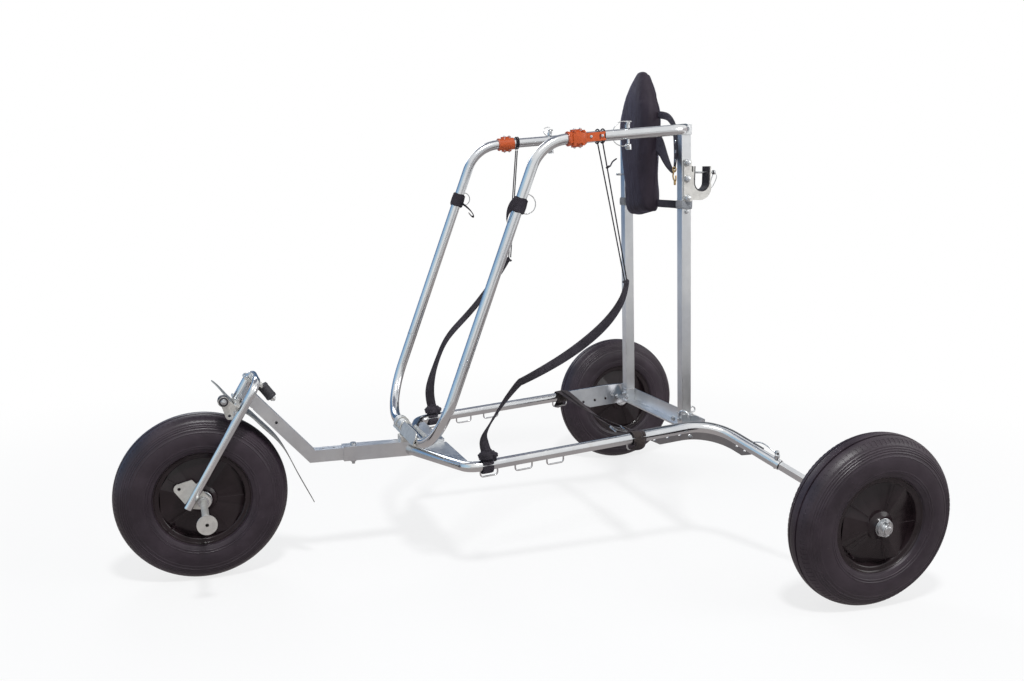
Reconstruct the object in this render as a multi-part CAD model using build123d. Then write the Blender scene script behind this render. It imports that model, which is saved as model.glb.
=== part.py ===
from build123d import *
import math
import os

# A three-wheeled flying trike: steered front wheel on a raked fork, a low tube frame whose
# rear legs carry two free wheels, a folding U hoop in front and a motor frame behind the seat.
# Millimetres, +X forwards, +Y to the pilot's left, +Z up, ground at Z = 0, origin midway
# between the axles.

# Layout
wheel_base = 1384
half_base = wheel_base / 2
rear_track = 1334          # between the middle planes of the rear tyres
camber = 4.3               # degrees, tops of the rear wheels outwards
frame_half_width = 250     # side tubes, hoop legs and top tubes
frame_rise = 5.0           # degrees, frame and top tubes climb to the rear

# Wheels
tyre_r = 200
tyre_width = 98
tread_half_width = 33
bead_r = 101
flange_r = 112
flange_half = 37           # outer face of the rim flange from the middle plane
flange_t = 3.5
rim_wall = 4
fan_folds = 5              # ridges of the folded disc, one panel on each side of a ridge
fan_root = 9               # half thickness that ridges and valleys share at the axle
fan_ridge = 0.11           # growth with the radius
fan_valley = -0.03
hub_r = 21
hub_half = 52
bearing_r = 15
spindle_r = 10
running_gap = 0.06
fit_gap = 0.3

# Tubes
tube_r = 12.5
tube_wall = 1.5
upright_size = 25
upright_wall = 2
boom_size = 30
sleeve_wall = 3
boom_wall = 2.5

# Heights that follow the wheels
frame_mid_z = tyre_r + 86  # side tube centre above the ground at X = 0
leg_end_rise = 5           # rear ends of the side tubes above the axles

# Front boom
boom_z = tyre_r + 72.5
kink_share = 1.305         # kink behind the front axle, in tyre radii
kink_x = half_base - kink_share * tyre_r
sleeve_front_x = 355
sleeve_rear_x = 100

# Steering
rake = 30.5                # degrees, head axis back from the vertical
head_over_axle = tyre_r + 64.6                 # along the head axis
head_ahead = 37.5          # head axis in front of the axle, square to it
head_r = 12
head_length = 54
steerer_r = 6
leg_setback = 12           # fork legs behind the head axis
leg_half_width = 70
leg_r = 10
leg_wall = 2
leg_bottom = tyre_r + 91   # below the head middle, along the axis
leg_top = 38
crown_bend_r = 34
yoke_t = 5
peg_length = 165
peg_r = 8
peg_disc_r = 22
peg_disc_t = 4

# Side tubes
nose_x = 194
nose_corner_x = 102
nose_bend_r = 42
leg_corner_x = -530
leg_end_inset = 67         # ends of the side tubes inside the tyre middle planes
leg_end = Vector(1 - half_base, rear_track / 2 - leg_end_inset, tyre_r + leg_end_rise)
leg_bend_r = 105
leg_tube_share = 0.52      # how far along the leg the round tube ends
stub_size = 15
stub_inset = 70

# Hoop
hoop_x = 188
hoop_z = frame_mid_z + 31
hoop_lean = 20.0           # degrees back from the vertical
hoop_corner_r = 130
hoop_top_r = 100
joint_x = -178             # where the hoop ends and the top tube begins
joint_gap = 0.4

# Top tubes and uprights
top_z_at_0 = 1019
top_corner_x = -425
top_bend_r = 45
upright_inset = 85
upright_y = frame_half_width - upright_inset
upright_lean = 1.73        # degrees forward
upright_foot = Vector(-500.8, 0, frame_mid_z + 25)
crossbar_inset = 68
crossbar_half = frame_half_width - crossbar_inset
crossbar_z = 1060
member_width = 32
member_height = 36
member_t = 4

rise = math.tan(math.radians(frame_rise))
nodes = {}


def frame_z(x):
    return frame_mid_z - rise * x


def top_z(x):
    return top_z_at_0 - rise * x


def upright_x(z):
    return upright_foot.X + (z - upright_foot.Z) * math.tan(math.radians(upright_lean))


def mirrored(shape):
    return mirror(shape, about=Plane.XZ)


def tube(points, radii, outer, wall):
    path = FilletPolyline(*points, radius=radii) if radii else Line(*points)
    start = Plane(origin=path @ 0, z_dir=path % 0)
    body = sweep(start * Circle(outer), path=path)
    if wall:
        body -= sweep(start * Circle(outer - wall), path=path)
    return body


def rod(a, b, r):
    a, b = Vector(*a), Vector(*b)
    return Plane(origin=a, z_dir=b - a) * Cylinder(r, (b - a).length, align=(Align.CENTER, Align.CENTER, Align.MIN))


def square_bar(a, b, size, wall, x_dir=(0, 1, 0), height=None):
    a, b = Vector(*a), Vector(*b)
    section = Rectangle(size, height or size)
    if wall:
        section -= Rectangle(size - 2 * wall, (height or size) - 2 * wall)
    return extrude(Plane(origin=a, z_dir=b - a, x_dir=x_dir) * section, (b - a).length)


def box_between(low, high):
    size = [h - l for l, h in zip(low, high)]
    return Pos(*low) * Box(*size, align=(Align.MIN, Align.MIN, Align.MIN))


# Wheels, drawn about the Y axis and then placed

def turned(profile):
    return revolve(Plane.YZ * profile, axis=Axis.Y)


def tyre():
    side_z = (tyre_r + bead_r) / 2
    bead_half = flange_half - flange_t - fit_gap
    with BuildSketch() as section:
        with BuildLine():
            ThreePointArc((-tread_half_width, tyre_r - 12), (0, tyre_r), (tread_half_width, tyre_r - 12))
            ThreePointArc((tread_half_width, tyre_r - 12), (tyre_width / 2, side_z), (flange_half + 4, flange_r + 2))
            Polyline((flange_half + 4, flange_r + 2), (bead_half, flange_r + 2), (bead_half, bead_r + fit_gap),
                     (-bead_half, bead_r + fit_gap), (-bead_half, flange_r + 2), (-flange_half - 4, flange_r + 2))
            ThreePointArc((-flange_half - 4, flange_r + 2), (-tyre_width / 2, side_z), (-tread_half_width, tyre_r - 12))
        make_face()
    return turned(section.sketch)


def rim():
    inner = flange_half - flange_t
    barrel_in = bead_r - rim_wall
    barrel = Polygon((-flange_half, barrel_in), (flange_half, barrel_in), (flange_half, flange_r),
                     (inner, flange_r), (inner, bead_r), (-inner, bead_r), (-inner, flange_r),
                     (-flange_half, flange_r), align=None)
    body = turned(barrel) + turned(Pos(0, (hub_r + bearing_r) / 2) * Rectangle(2 * hub_half - 8, hub_r - bearing_r))
    faces = []
    for r in (hub_r - 1, barrel_in + 2):
        w, high, low = r * math.tan(math.pi / fan_folds), fan_root + fan_ridge * r, fan_root + fan_valley * r
        faces.append(Plane(origin=(0, 0, r)) * Polygon((-w, -low), (0, -high), (w, -low), (w, low), (0, high), (-w, low),
                                                       align=None))
    fold = loft(faces, ruled=True)
    for k in range(fan_folds):
        body += Rot(Y=360 / fan_folds * k) * fold & rod((0, -hub_half, 0), (0, hub_half, 0), barrel_in + 1)
    return body


def hub():
    bore = spindle_r + running_gap
    half = hub_half - 4
    bush = Pos(0, (bearing_r + bore) / 2) * Rectangle(2 * half, bearing_r - bore)
    flanges = [Pos(s * (half + 2), (hub_r - 3 + bore) / 2) * Rectangle(4, hub_r - 3 - bore) for s in (1, -1)]
    return turned(bush + flanges[0] + flanges[1])


def axle_height(tilt):
    wheel = Rot(X=tilt) * tyre()
    return -wheel.bounding_box().min.Z


wheel_parts = {"tyre": tyre(), "rim": rim(), "hub": hub()}
rear_axle_z = axle_height(camber)
wheel_table = [                                # name, x, y, height, lean about X
    ("front_{}", half_base, 0, tyre_r, 0),
    ("rear_{}_left", -half_base, rear_track / 2, rear_axle_z, -camber),
    ("rear_{}_right", -half_base, -rear_track / 2, rear_axle_z, camber),
]
for name, x, y, z, lean in wheel_table:
    for part, shape in wheel_parts.items():
        nodes[name.format(part)] = Pos(x, y, z) * Rot(X=lean) * shape

# Boom: square tube with a mitred kink, sliding in an outer sleeve

kink = Vector(kink_x, 0, boom_z)
boom_rear_x = sleeve_rear_x + 120
head_axis = Vector(-math.sin(math.radians(rake)), 0, math.cos(math.radians(rake)))
back = Vector(-math.cos(math.radians(rake)), 0, -math.sin(math.radians(rake)))
axle_mid = Vector(half_base, 0, tyre_r)
head_mid = axle_mid + head_axis * head_over_axle - back * head_ahead
slope = (head_mid - kink).normalized()
head_top = head_mid + head_axis * (head_length / 2)
head_low = head_mid - head_axis * (head_length / 2)
head_blank = rod(head_low, head_top, head_r)


def boom(size, wall):
    long_front = square_bar((boom_rear_x, 0, boom_z), (kink_x + 60, 0, boom_z), size, wall)
    slant = square_bar(kink - slope * 60, kink + slope * ((head_mid - kink).length + 10), size, wall)
    mitre_dir = (slope - Vector(-1, 0, 0)).normalized()
    cut = Plane(origin=kink, z_dir=mitre_dir)
    rear_half = split(long_front, bisect_by=cut, keep=Keep.BOTTOM)
    front_half = split(slant, bisect_by=cut, keep=Keep.TOP)
    return rear_half + front_half


boom_front = boom(boom_size, boom_wall)
yoke_room = 44             # behind the head axis, free of the boom above and below the head tube
room = Box(4 * yoke_room, 2 * boom_size, 2 * boom_size, align=(Align.MIN, Align.CENTER, Align.MIN))
for start in (-2 * boom_size, head_length):
    boom_front -= Plane(origin=head_low + back * yoke_room, x_dir=back * -1, z_dir=head_axis) * Pos(0, 0, start) * room
boom_front = split(boom_front, bisect_by=Plane(origin=head_mid, z_dir=back), keep=Keep.TOP)
boom_front -= head_blank
for x in (kink_x - 54, kink_x - 28):
    boom_front -= rod((x, 0, boom_z + 5), (x, 0, boom_z + 30), 3.5)
cross_hole_run = 124       # up the slanted part
for s in (1, -1):
    spot = kink + slope * cross_hole_run
    boom_front -= rod(spot, spot + Vector(0, s * boom_size, 0), 3.5)
sleeve_size = boom_size + 2 * sleeve_wall
boom_sleeve = square_bar((sleeve_rear_x, 0, boom_z), (sleeve_front_x, 0, boom_z), sleeve_size, sleeve_wall)
bolt_x = sleeve_front_x - 26
bolt_hole = rod((bolt_x, 0, boom_z - 40), (bolt_x, 0, boom_z + 40), 4)
boom_sleeve -= bolt_hole
boom_front -= bolt_hole
boom_bolt = rod((bolt_x, 0, boom_z - 30), (bolt_x, 0, boom_z + 24), 3.9)
for z in (sleeve_size / 2, -sleeve_size / 2 - 6):
    boom_bolt += Pos(bolt_x, 0, boom_z + z) * Cylinder(7, 6, align=(Align.CENTER, Align.CENTER, Align.MIN))
nodes["boom_front"] = boom_front
nodes["boom_sleeve"] = boom_sleeve
nodes["boom_bolt"] = boom_bolt
nodes["head_tube"] = head_blank - rod(head_low - head_axis, head_top + head_axis, steerer_r + running_gap)
# Side tubes with the nose bend, the straight and the swept rear leg

corner = Vector(leg_corner_x, frame_half_width, frame_z(leg_corner_x))
tube_end = corner + (leg_end - corner) * leg_tube_share
side_points = [(nose_x, 0, frame_z(nose_x)), (nose_corner_x, frame_half_width, frame_z(nose_corner_x)),
               tuple(corner), tuple(tube_end)]
side_radii = [nose_bend_r, leg_bend_r]
side_blank = tube(side_points, side_radii, tube_r, 0)
sleeve_blank = box_between((sleeve_rear_x - 5, -sleeve_size / 2, boom_z - sleeve_size / 2),
                           (sleeve_front_x, sleeve_size / 2, boom_z + sleeve_size / 2))
centre_cut = box_between((0, -200, 0), (400, 0, 500))
side_left = tube(side_points, side_radii, tube_r, tube_wall) - sleeve_blank - centre_cut
loop_table = [56, -30, -110, -320]             # x of each wire loop under a side tube
loop_wire = 2
loop_width = 42
loop_drop = 22
for x in loop_table:
    z = frame_z(x)
    y = frame_half_width
    low = z - loop_drop - tube_r + 8
    points = [(x - loop_width / 2, y, frame_z(x - loop_width / 2) - tube_r + 2),
              (x - loop_width / 2, y, low + rise * loop_width / 2),
              (x + loop_width / 2, y, low - rise * loop_width / 2),
              (x + loop_width / 2, y, frame_z(x + loop_width / 2) - tube_r + 2)]
    side_left += tube(points, [7, 7], loop_wire, 0) - side_blank
nodes["side_tube_left"] = side_left
nodes["side_tube_right"] = mirrored(side_left)

# Web plates round the outside of the rear bend

along = (leg_end - corner).normalized()
straight = Vector(-1, 0, rise).normalized()
normal = straight.cross(along).normalized()
if normal.Z > 0:
    normal = normal * -1
turn = math.degrees(math.acos(straight.dot(along)))
tangent = leg_bend_r * math.tan(math.radians(turn / 2))
arc_start = corner - straight * tangent
inward = (normal.cross(straight)).normalized()
if inward.Y > 0:
    inward = inward * -1
web_t = 3
web_off = tube_r + web_t / 2
web_top = -8                                   # above the tube centre, along the plate
web_low = 47
web_front = 119
web_rear = 80


def web_flat(origin, direction, side, length, taper):
    face = Polygon((0, web_top), (length, web_top), (length, web_top + 16), (length - taper, web_low), (0, web_low), align=None)
    plate = Plane(origin=origin + side * (web_off + web_t / 2), x_dir=direction, z_dir=side * -1)
    if plate.y_dir.dot(normal) < 0:
        plate = Plane(origin=origin + side * (web_off - web_t / 2), x_dir=direction, z_dir=side)
    return extrude(plate * face, web_t)


arc_centre = arc_start - inward * leg_bend_r
arc_end = corner + along * tangent
inward_end = (arc_end - arc_centre).normalized()
ring_plane = Plane(origin=arc_centre, x_dir=inward, z_dir=normal)
ring = Pos(0, 0, web_top) * (Cylinder(leg_bend_r + web_off + web_t / 2, web_low - web_top, align=(Align.CENTER, Align.CENTER, Align.MIN))
                             - Cylinder(leg_bend_r + web_off - web_t / 2, web_low - web_top, align=(Align.CENTER, Align.CENTER, Align.MIN)))
ring = ring_plane * ring
sector = split(ring, bisect_by=Plane(origin=arc_start, z_dir=straight), keep=Keep.TOP)
sector = split(sector, bisect_by=Plane(origin=arc_end, z_dir=along), keep=Keep.BOTTOM)
web = sector + web_flat(arc_start, straight * -1, inward, web_front, 60) + web_flat(arc_end, along, inward_end, web_rear, 55)
hole_row = tube_r + 16
web_holes = [(arc_start, straight * -1, inward, 76), (arc_start, straight * -1, inward, 40),
             (arc_start, straight * -1, inward, 6), (arc_end, along, inward_end, 6),
             (arc_end, along, inward_end, 30), (arc_end, along, inward_end, 54)]
for origin, direction, side, run in web_holes:
    spot = origin + direction * run + normal * hole_row
    web -= rod(spot + side * 5, spot + side * 25, 4)
web -= side_blank
nodes["web_plate_left"] = web
nodes["web_plate_right"] = mirrored(web)

# Motor frame: angle cross member, uprights, crossbar


def largest(shape):
    return shape.solids().sort_by(SortBy.VOLUME)[-1]


half = upright_size / 2
member_back = upright_foot.X - half - member_t
member_low = upright_foot.Z - member_t
member_half = frame_half_width - 8
angle_face = Polygon((0, 0), (member_width, 0), (member_width, member_t), (member_t, member_t),
                     (member_t, member_height), (0, member_height), align=None)
member = extrude(Plane(origin=(member_back, member_half, member_low), x_dir=(1, 0, 0), z_dir=(0, -1, 0)) * angle_face,
                 2 * member_half)
member = member - web - mirrored(web) - side_blank - mirrored(side_blank)
nodes["cross_member"] = largest(member)
crossbar_low = crossbar_z - half
upright = square_bar((upright_x(280), upright_y, 280), (upright_x(1100), upright_y, 1100), upright_size, upright_wall)
upright -= box_between((-700, 0, 0), (0, 400, upright_foot.Z))
upright -= box_between((-700, 0, crossbar_low), (0, 400, 1300))
upright -= member
nodes["upright_left"] = upright
nodes["upright_right"] = mirrored(upright)
crossbar_x = upright_x(crossbar_z)
crossbar = square_bar((crossbar_x, -crossbar_half, crossbar_z), (crossbar_x, crossbar_half, crossbar_z),
                      upright_size, 0, x_dir=(1, 0, 0))
nodes["top_crossbar"] = crossbar

# Top tubes, and the clamps where the hoop meets them

top_rear = Vector(crossbar_x + half - 6, frame_half_width - crossbar_inset, top_z(crossbar_x))
top_points = [(joint_x - joint_gap / 2, frame_half_width, top_z(joint_x - joint_gap / 2)),
              (top_corner_x, frame_half_width, top_z(top_corner_x)), tuple(top_rear)]
top_blank = tube(top_points, [top_bend_r], tube_r, 0)
pin_x = -286
pin_r = 3
pin_axis = Vector(rise, 0, 1).normalized()
pin_mid = Vector(pin_x, frame_half_width, top_z(pin_x))
top_left = tube(top_points, [top_bend_r], tube_r, tube_wall)
top_left -= crossbar
top_left -= rod(pin_mid - pin_axis * 40, pin_mid + pin_axis * 40, pin_r + 0.1)
nodes["top_tube_left"] = top_left
nodes["top_tube_right"] = mirrored(top_left)
pin = rod(pin_mid - pin_axis * 24, pin_mid + pin_axis * 28, pin_r)
pin += rod(pin_mid - pin_axis * 36, pin_mid - pin_axis * 24, 7)
pin += rod(pin_mid + pin_axis * (tube_r + 1), pin_mid + pin_axis * (tube_r + 9), 6)
nodes["top_pins"] = Compound(children=[pin, mirrored(pin)])

clamp_r = tube_r + 3.5
latch_t = 7
latch_height = 20


def on_top_line(x, y=frame_half_width):
    return Vector(x, y, top_z(x))


def latch(a, b):
    """outer plate over the joint, hollowed to the tube"""
    middle = (a + b) * 0.5 + Vector(0, tube_r + latch_t / 2 - 3, 0)
    return Plane(origin=middle, x_dir=(b - a).normalized(), z_dir=(0, 1, 0)) * Box((b - a).length, latch_height, latch_t)


sleeve_a = on_top_line(joint_x - joint_gap / 2)
sleeve_b = on_top_line(joint_x - 45)
clamp_sleeve = latch(sleeve_a, sleeve_b) - top_blank
nodes["clamp_sleeve_left"] = clamp_sleeve
nodes["clamp_sleeve_right"] = mirrored(clamp_sleeve)

# Hoop: one tube, U at the bottom, bent back to the clamps at the top

lean = Vector(-math.sin(math.radians(hoop_lean)), 0, math.cos(math.radians(hoop_lean)))
hoop_low = Vector(hoop_x, 0, hoop_z)
climb = (top_z(hoop_x) - hoop_z) / (lean.Z + rise * lean.X)
hoop_top = hoop_low + lean * climb
side = Vector(0, frame_half_width, 0)
hoop_end = on_top_line(joint_x + joint_gap / 2)
hoop_points = [tuple(hoop_end), tuple(hoop_top + side), tuple(hoop_low + side), tuple(hoop_low - side),
               tuple(hoop_top - side), (hoop_end.X, -hoop_end.Y, hoop_end.Z)]
hoop_radii = [hoop_top_r, hoop_corner_r, hoop_corner_r, hoop_top_r]
nodes["hoop_tube"] = tube(hoop_points, hoop_radii, tube_r, tube_wall)
collar_a = on_top_line(joint_x + joint_gap / 2)
collar_b = on_top_line(joint_x + 42)
collar = rod(collar_a, collar_b, clamp_r) + latch(collar_a, collar_b)
mid = (collar_a + collar_b) * 0.5
ear = Plane(origin=mid, x_dir=(collar_a - collar_b).normalized(), z_dir=(0, 1, 0)) * Box(26, 2 * clamp_r + 8, 8)
collar = collar + ear - rod(collar_a + (collar_a - collar_b), collar_b + (collar_b - collar_a), tube_r)
nodes["hoop_clamps"] = Compound(children=[collar, mirrored(collar)])
wrap_mid = hoop_low + lean * 601 + side
wrap = rod(wrap_mid - lean * 15, wrap_mid + lean * 15, tube_r + 3)
wrap -= rod(wrap_mid - lean * 20, wrap_mid + lean * 20, tube_r + fit_gap)
nodes["hoop_wraps"] = Compound(children=[wrap, mirrored(wrap)])

# Hinge bracket: a saddle channel that the hoop's bottom run turns in

saddle_low = -88           # Y, far end of the bracket, on the right
saddle_high = 124          # near end
cheek_low = -14
cheek_height = 30
saddle_wall = 3
saddle_in = tube_r + fit_gap
channel_low = saddle_in + saddle_wall
across = Vector(lean.Z, 0, -lean.X)
base = Plane(origin=hoop_low, x_dir=(0, 1, 0), z_dir=lean)
hinge = base * Pos(saddle_low, 0, -channel_low) * Box(saddle_high - saddle_low, 2 * channel_low, saddle_wall + 3,
                                                      align=(Align.MIN, Align.CENTER, Align.MIN))
cheek_mid = (cheek_low + saddle_high) / 2
for s in (1, -1):
    wall_mid = hoop_low + across * (s * (saddle_in + saddle_wall / 2)) + lean * 1.5 + Vector(0, cheek_mid, 0)
    cheek = Plane(origin=wall_mid, x_dir=(0, 1, 0), z_dir=across) * SlotOverall(saddle_high - cheek_low, cheek_height)
    hinge += extrude(cheek, saddle_wall / 2, both=True)
for low, high, r in ((saddle_low, saddle_low + 24, tube_r + 6), (saddle_low + 28, cheek_low - 14, tube_r + 4)):
    hinge += rod(hoop_low + Vector(0, low, 0), hoop_low + Vector(0, high, 0), r)
hinge -= rod(hoop_low - Vector(0, 200, 0), hoop_low + Vector(0, 200, 0), saddle_in)
sleeve_top = boom_z + sleeve_size / 2
stand = box_between((hoop_x - 14, -sleeve_size / 2, sleeve_top), (hoop_x + 24, sleeve_size / 2, hoop_z - saddle_in))
stand -= rod(hoop_low - Vector(0, 100, 0), hoop_low + Vector(0, 100, 0), saddle_in)
nodes["hinge_bracket"] = hinge + stand
gusset_t = 4
gusset = Polygon((96, -205), (96, 205), (112, 205), (nose_x, -0.1), (112, -205), align=None)
gusset_plane = Plane(origin=(0, 0, frame_z(0) + 5), x_dir=(1, 0, -rise), z_dir=(rise, 0, 1))
gusset = extrude(gusset_plane * gusset, gusset_t)
gusset -= sleeve_blank + box_between((0, -sleeve_size / 2, 200), (300, sleeve_size / 2, 400))
gusset = gusset - side_blank - mirrored(side_blank)
gusset = [piece for piece in gusset.solids() if piece.volume > 2000]
nodes["front_gusset"] = Compound(children=gusset)

# Rear stub axles: square bar in the tube, spindle through the wheel

spin_dir = Vector(0, math.cos(math.radians(camber)), -math.sin(math.radians(camber)))
wheel_mid = Vector(-half_base, rear_track / 2, rear_axle_z)
spindle_in = wheel_mid - spin_dir * (hub_half + 6)
stub_from = tube_end - along * stub_inset
stub_to = spindle_in - spin_dir * 2
stub_dir = (stub_to - tube_end).normalized()
stub = square_bar(stub_from, tube_end, stub_size, 0, x_dir=tuple(normal))
stub += square_bar(tube_end, stub_to, stub_size, 0, x_dir=tuple(normal))
spindle = rod(spindle_in - spin_dir * 10, wheel_mid + spin_dir * (hub_half + 12), spindle_r)
shoulder = rod(spindle_in, spindle_in + spin_dir * 5.5, 16)
washer = rod(wheel_mid + spin_dir * (hub_half + 0.4), wheel_mid + spin_dir * (hub_half + 3), 15)
axle = stub + spindle + shoulder + washer
nodes["axle_left"] = axle
nodes["axle_right"] = mirrored(axle)

# Fork: one tube bent over the top, steered about the head axis


def at_fork(s, y, t=0):
    """s up the head axis, t behind it"""
    return head_mid + head_axis * s + back * t + Vector(0, y, 0)


fork_points = [at_fork(-leg_bottom, leg_half_width, leg_setback), at_fork(leg_top, leg_half_width, leg_setback),
               at_fork(leg_top, -leg_half_width, leg_setback), at_fork(-leg_bottom, -leg_half_width, leg_setback)]
fork_blank = tube([tuple(p) for p in fork_points], [crown_bend_r] * 2, leg_r, 0)
nodes["fork_tube"] = tube([tuple(p) for p in fork_points], [crown_bend_r] * 2, leg_r, leg_wall)
yoke_plane = Plane(origin=head_mid, x_dir=(0, 1, 0), z_dir=head_axis)
bumper_a = at_fork(30, 0, 36)
bumper_b = at_fork(15.2, 0, 70.5)
bumper_dir = (bumper_b - bumper_a).normalized()
yoke_gap = 0.5
bottom_end = 42


def yoke(t_front, t_rear, s_low, width):
    return Pos(-width / 2, t_front, s_low) * Box(width, t_rear - t_front, yoke_t, align=(Align.MIN, Align.MIN, Align.MIN))


top_s = head_length / 2 + yoke_gap
steerer = yoke_plane * (yoke(-6, 22, -top_s - yoke_t, 2 * leg_half_width) + yoke(-12, 35.5, top_s, 46))
steerer += rod(at_fork(-bottom_end, 0), at_fork(top_s + yoke_t + 6, 0), steerer_r)
steerer += rod(at_fork(-bottom_end, 0), at_fork(-top_s - yoke_t, 0), 9)
steerer += rod(at_fork(top_s + yoke_t, 0), at_fork(top_s + yoke_t + 5, 0), 8)
steerer += rod(bumper_a - bumper_dir * 8, bumper_b + bumper_dir * 6, 4)
steerer += rod(bumper_b, bumper_b + bumper_dir * 6, 7)
nodes["steerer"] = steerer - fork_blank
nodes["bumper"] = rod(bumper_a, bumper_b, 12.5) - rod(bumper_a - bumper_dir, bumper_b + bumper_dir, 4)
plate_t = 4
plate_y = leg_half_width - leg_r - 1
nose = axle_mid + Vector(52, 0, 36)
plate_face = Plane(origin=(0, plate_y + plate_t, 0), x_dir=(1, 0, 0), z_dir=(0, -1, 0))
dropout = make_hull([(Pos(axle_mid.X, axle_mid.Z) * Circle(17)).edge(), (Pos(nose.X, nose.Z) * Circle(12)).edge(),
                     (Pos(axle_mid.X + 24, axle_mid.Z + 52) * Circle(3)).edge(),
                     (Pos(axle_mid.X + 30, axle_mid.Z - 10) * Circle(3)).edge()])
dropout = dropout - Pos(nose.X, nose.Z) * Circle(4) - Pos(axle_mid.X, axle_mid.Z) * Circle(spindle_r)
dropout = extrude(plate_face * dropout, plate_t) - fork_blank
nodes["dropout_left"] = dropout
nodes["dropout_right"] = mirrored(dropout)
axle_half = plate_y + plate_t
front_axle = rod(axle_mid - Vector(0, axle_half, 0), axle_mid + Vector(0, axle_half, 0), spindle_r)
for s in (1, -1):
    front_axle += rod(axle_mid + Vector(0, s * (hub_half + 0.4), 0), axle_mid + Vector(0, s * plate_y, 0), 14)
nodes["front_axle"] = front_axle
peg = rod(axle_mid + Vector(0, axle_half, 0), axle_mid + Vector(0, axle_half + peg_length, 0), peg_r)
peg += rod(axle_mid + Vector(0, axle_half + peg_length, 0), axle_mid + Vector(0, axle_half + peg_length + peg_disc_t, 0), peg_disc_r)
peg -= rod(axle_mid + Vector(0, axle_half + 20, 0), axle_mid + Vector(0, axle_half + peg_length + 9, 0), peg_r - 4)
nodes["foot_pegs"] = Compound(children=[peg, mirrored(peg)])

guard_t = 2
guard_half = 48
guard_line = [             # degrees round the axle from ahead, height above the tread
    (97.1, 76), (102.0, 58), (107.2, 40.2), (112.8, 29.6), (120.6, 25), (129.1, 18.4), (137.4, 16.5),
    (144.5, 17.6), (153.5, 19), (164.0, 22), (173.2, 30.4), (181.2, 44.7), (189.7, 68)]
top_side = [Vector(axle_mid.X, axle_mid.Z) + Vector(tyre_r + gap, 0).rotate(Axis.Z, angle) for angle, gap in guard_line]
under_side = []
for k, point in enumerate(top_side):
    run = top_side[min(k + 1, len(top_side) - 1)] - top_side[max(k - 1, 0)]
    under_side.append(point + Vector(-run.Y, run.X).normalized() * guard_t)
if under_side[4].X < top_side[4].X:
    under_side = [t * 2 - u for t, u in zip(top_side, under_side)]
section = make_face(Spline(*top_side) + Line(top_side[-1], under_side[-1]) + Spline(*under_side)
                    + Line(under_side[0], top_side[0]))
guard = extrude(Plane(origin=(0, 60, 0), x_dir=(1, 0, 0), z_dir=(0, -1, 0)) * section, 120)
guard_a, guard_b = (Vector(point.X, 0, point.Y) for point in (top_side[0], top_side[-1]))
leaf_plane = Plane(origin=guard_a, x_dir=(guard_b - guard_a).normalized(),
                   z_dir=(guard_b - guard_a).cross(Vector(0, 1, 0)).normalized())
leaf_length = (guard_b - guard_a).length
leaf_shape = [(0, 0.08), (0.15, 0.72), (0.32, 1), (0.52, 0.9), (0.72, 0.62), (0.88, 0.34), (1, 0.08)]
leaf_side = [(share * (leaf_length + 4) - 2, width * guard_half) for share, width in leaf_shape]
with BuildSketch() as leaf:
    with BuildLine():
        Spline(*leaf_side)
        Line(leaf_side[-1], (leaf_side[-1][0], -leaf_side[-1][1]))
        Spline(*[(x, -y) for x, y in leaf_side])
        Line((leaf_side[0][0], -leaf_side[0][1]), leaf_side[0])
    make_face()
guard &= extrude(leaf_plane * leaf.sketch, 200, both=True)
guard -= rod(at_fork(-bottom_end, 0), at_fork(0, 0), 9)
nodes["mudguard"] = guard

# Brake stop on the left fork leg

stop_y = leg_half_width - leg_r - 1
eye = at_fork(-58.4, 0, -6.2)
peg = at_fork(-32, 0, -36.8)
heel = at_fork(-45.9, 0, 10.8)
stop_face = make_hull([(Pos(spot.X, spot.Z) * Circle(r)).edge() for spot, r in ((eye, 9), (peg, 8), (heel, 11))])
stop_face -= Pos(eye.X, eye.Z) * Circle(3.5)
fork_stop = extrude(Plane(origin=(0, stop_y + plate_t, 0), x_dir=(1, 0, 0), z_dir=(0, -1, 0)) * stop_face, plate_t)
fork_stop += rod((peg.X, stop_y, peg.Z), (peg.X, stop_y + 26, peg.Z), 12)
nodes["fork_stop"] = fork_stop - fork_blank - steerer

# Motor hangers: a bolted plate with a rubber-lined half pipe behind each upright

hanger_t = 4
hanger_y = upright_y + half
saddle_mid = Vector(-523, 0, 931)
saddle_top = 971
lining_r = 19
lining_t = 3
sheet_t = 3
hanger_width = 34


def half_pipe(r, margin=0):
    return Pos(saddle_mid.X, saddle_mid.Z) * (Circle(r) + Pos(0, 40) * Rectangle(2 * r, 80))


def from_side(face, y_out, width):
    """extrude an X-Z face inwards from the plane y = y_out"""
    return extrude(Plane(origin=(0, y_out, 0), x_dir=(1, 0, 0), z_dir=(0, -1, 0)) * face, width)


below_top = Pos(saddle_mid.X, saddle_top - 100) * Rectangle(200, 200)
strip = Polygon((upright_x(885) - half, 885), (upright_x(885) + half - 4, 885), (upright_x(985) + half - 4, 985),
                (upright_x(985) - half, 985), align=None)
fin = make_hull([(Pos(-519, 919) * Circle(31)).edge(), (Pos(-492, 892) * Circle(4)).edge(),
                 (Pos(-494, 955) * Circle(3)).edge()])
sheet_r = lining_r + lining_t
hanger = from_side((strip + fin) - half_pipe(sheet_r), hanger_y + hanger_t, hanger_t)
hanger += from_side((half_pipe(sheet_r + sheet_t) & below_top) - half_pipe(sheet_r), hanger_y + hanger_t, hanger_width)
lining = from_side((half_pipe(sheet_r) & below_top) - half_pipe(lining_r), hanger_y + hanger_t, hanger_width)
for z in (979, 940, 893):
    spot = Vector(upright_x(z), hanger_y + hanger_t, z)
    hanger += rod(spot, spot + Vector(0, 5, 0), 6.5)
pin_z = 956
cross_y = hanger_y + hanger_t - hanger_width / 2
cross_hole = rod((-560, cross_y, pin_z), (-490, cross_y, pin_z), 2.7)
hanger -= cross_hole
lining -= cross_hole
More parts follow.
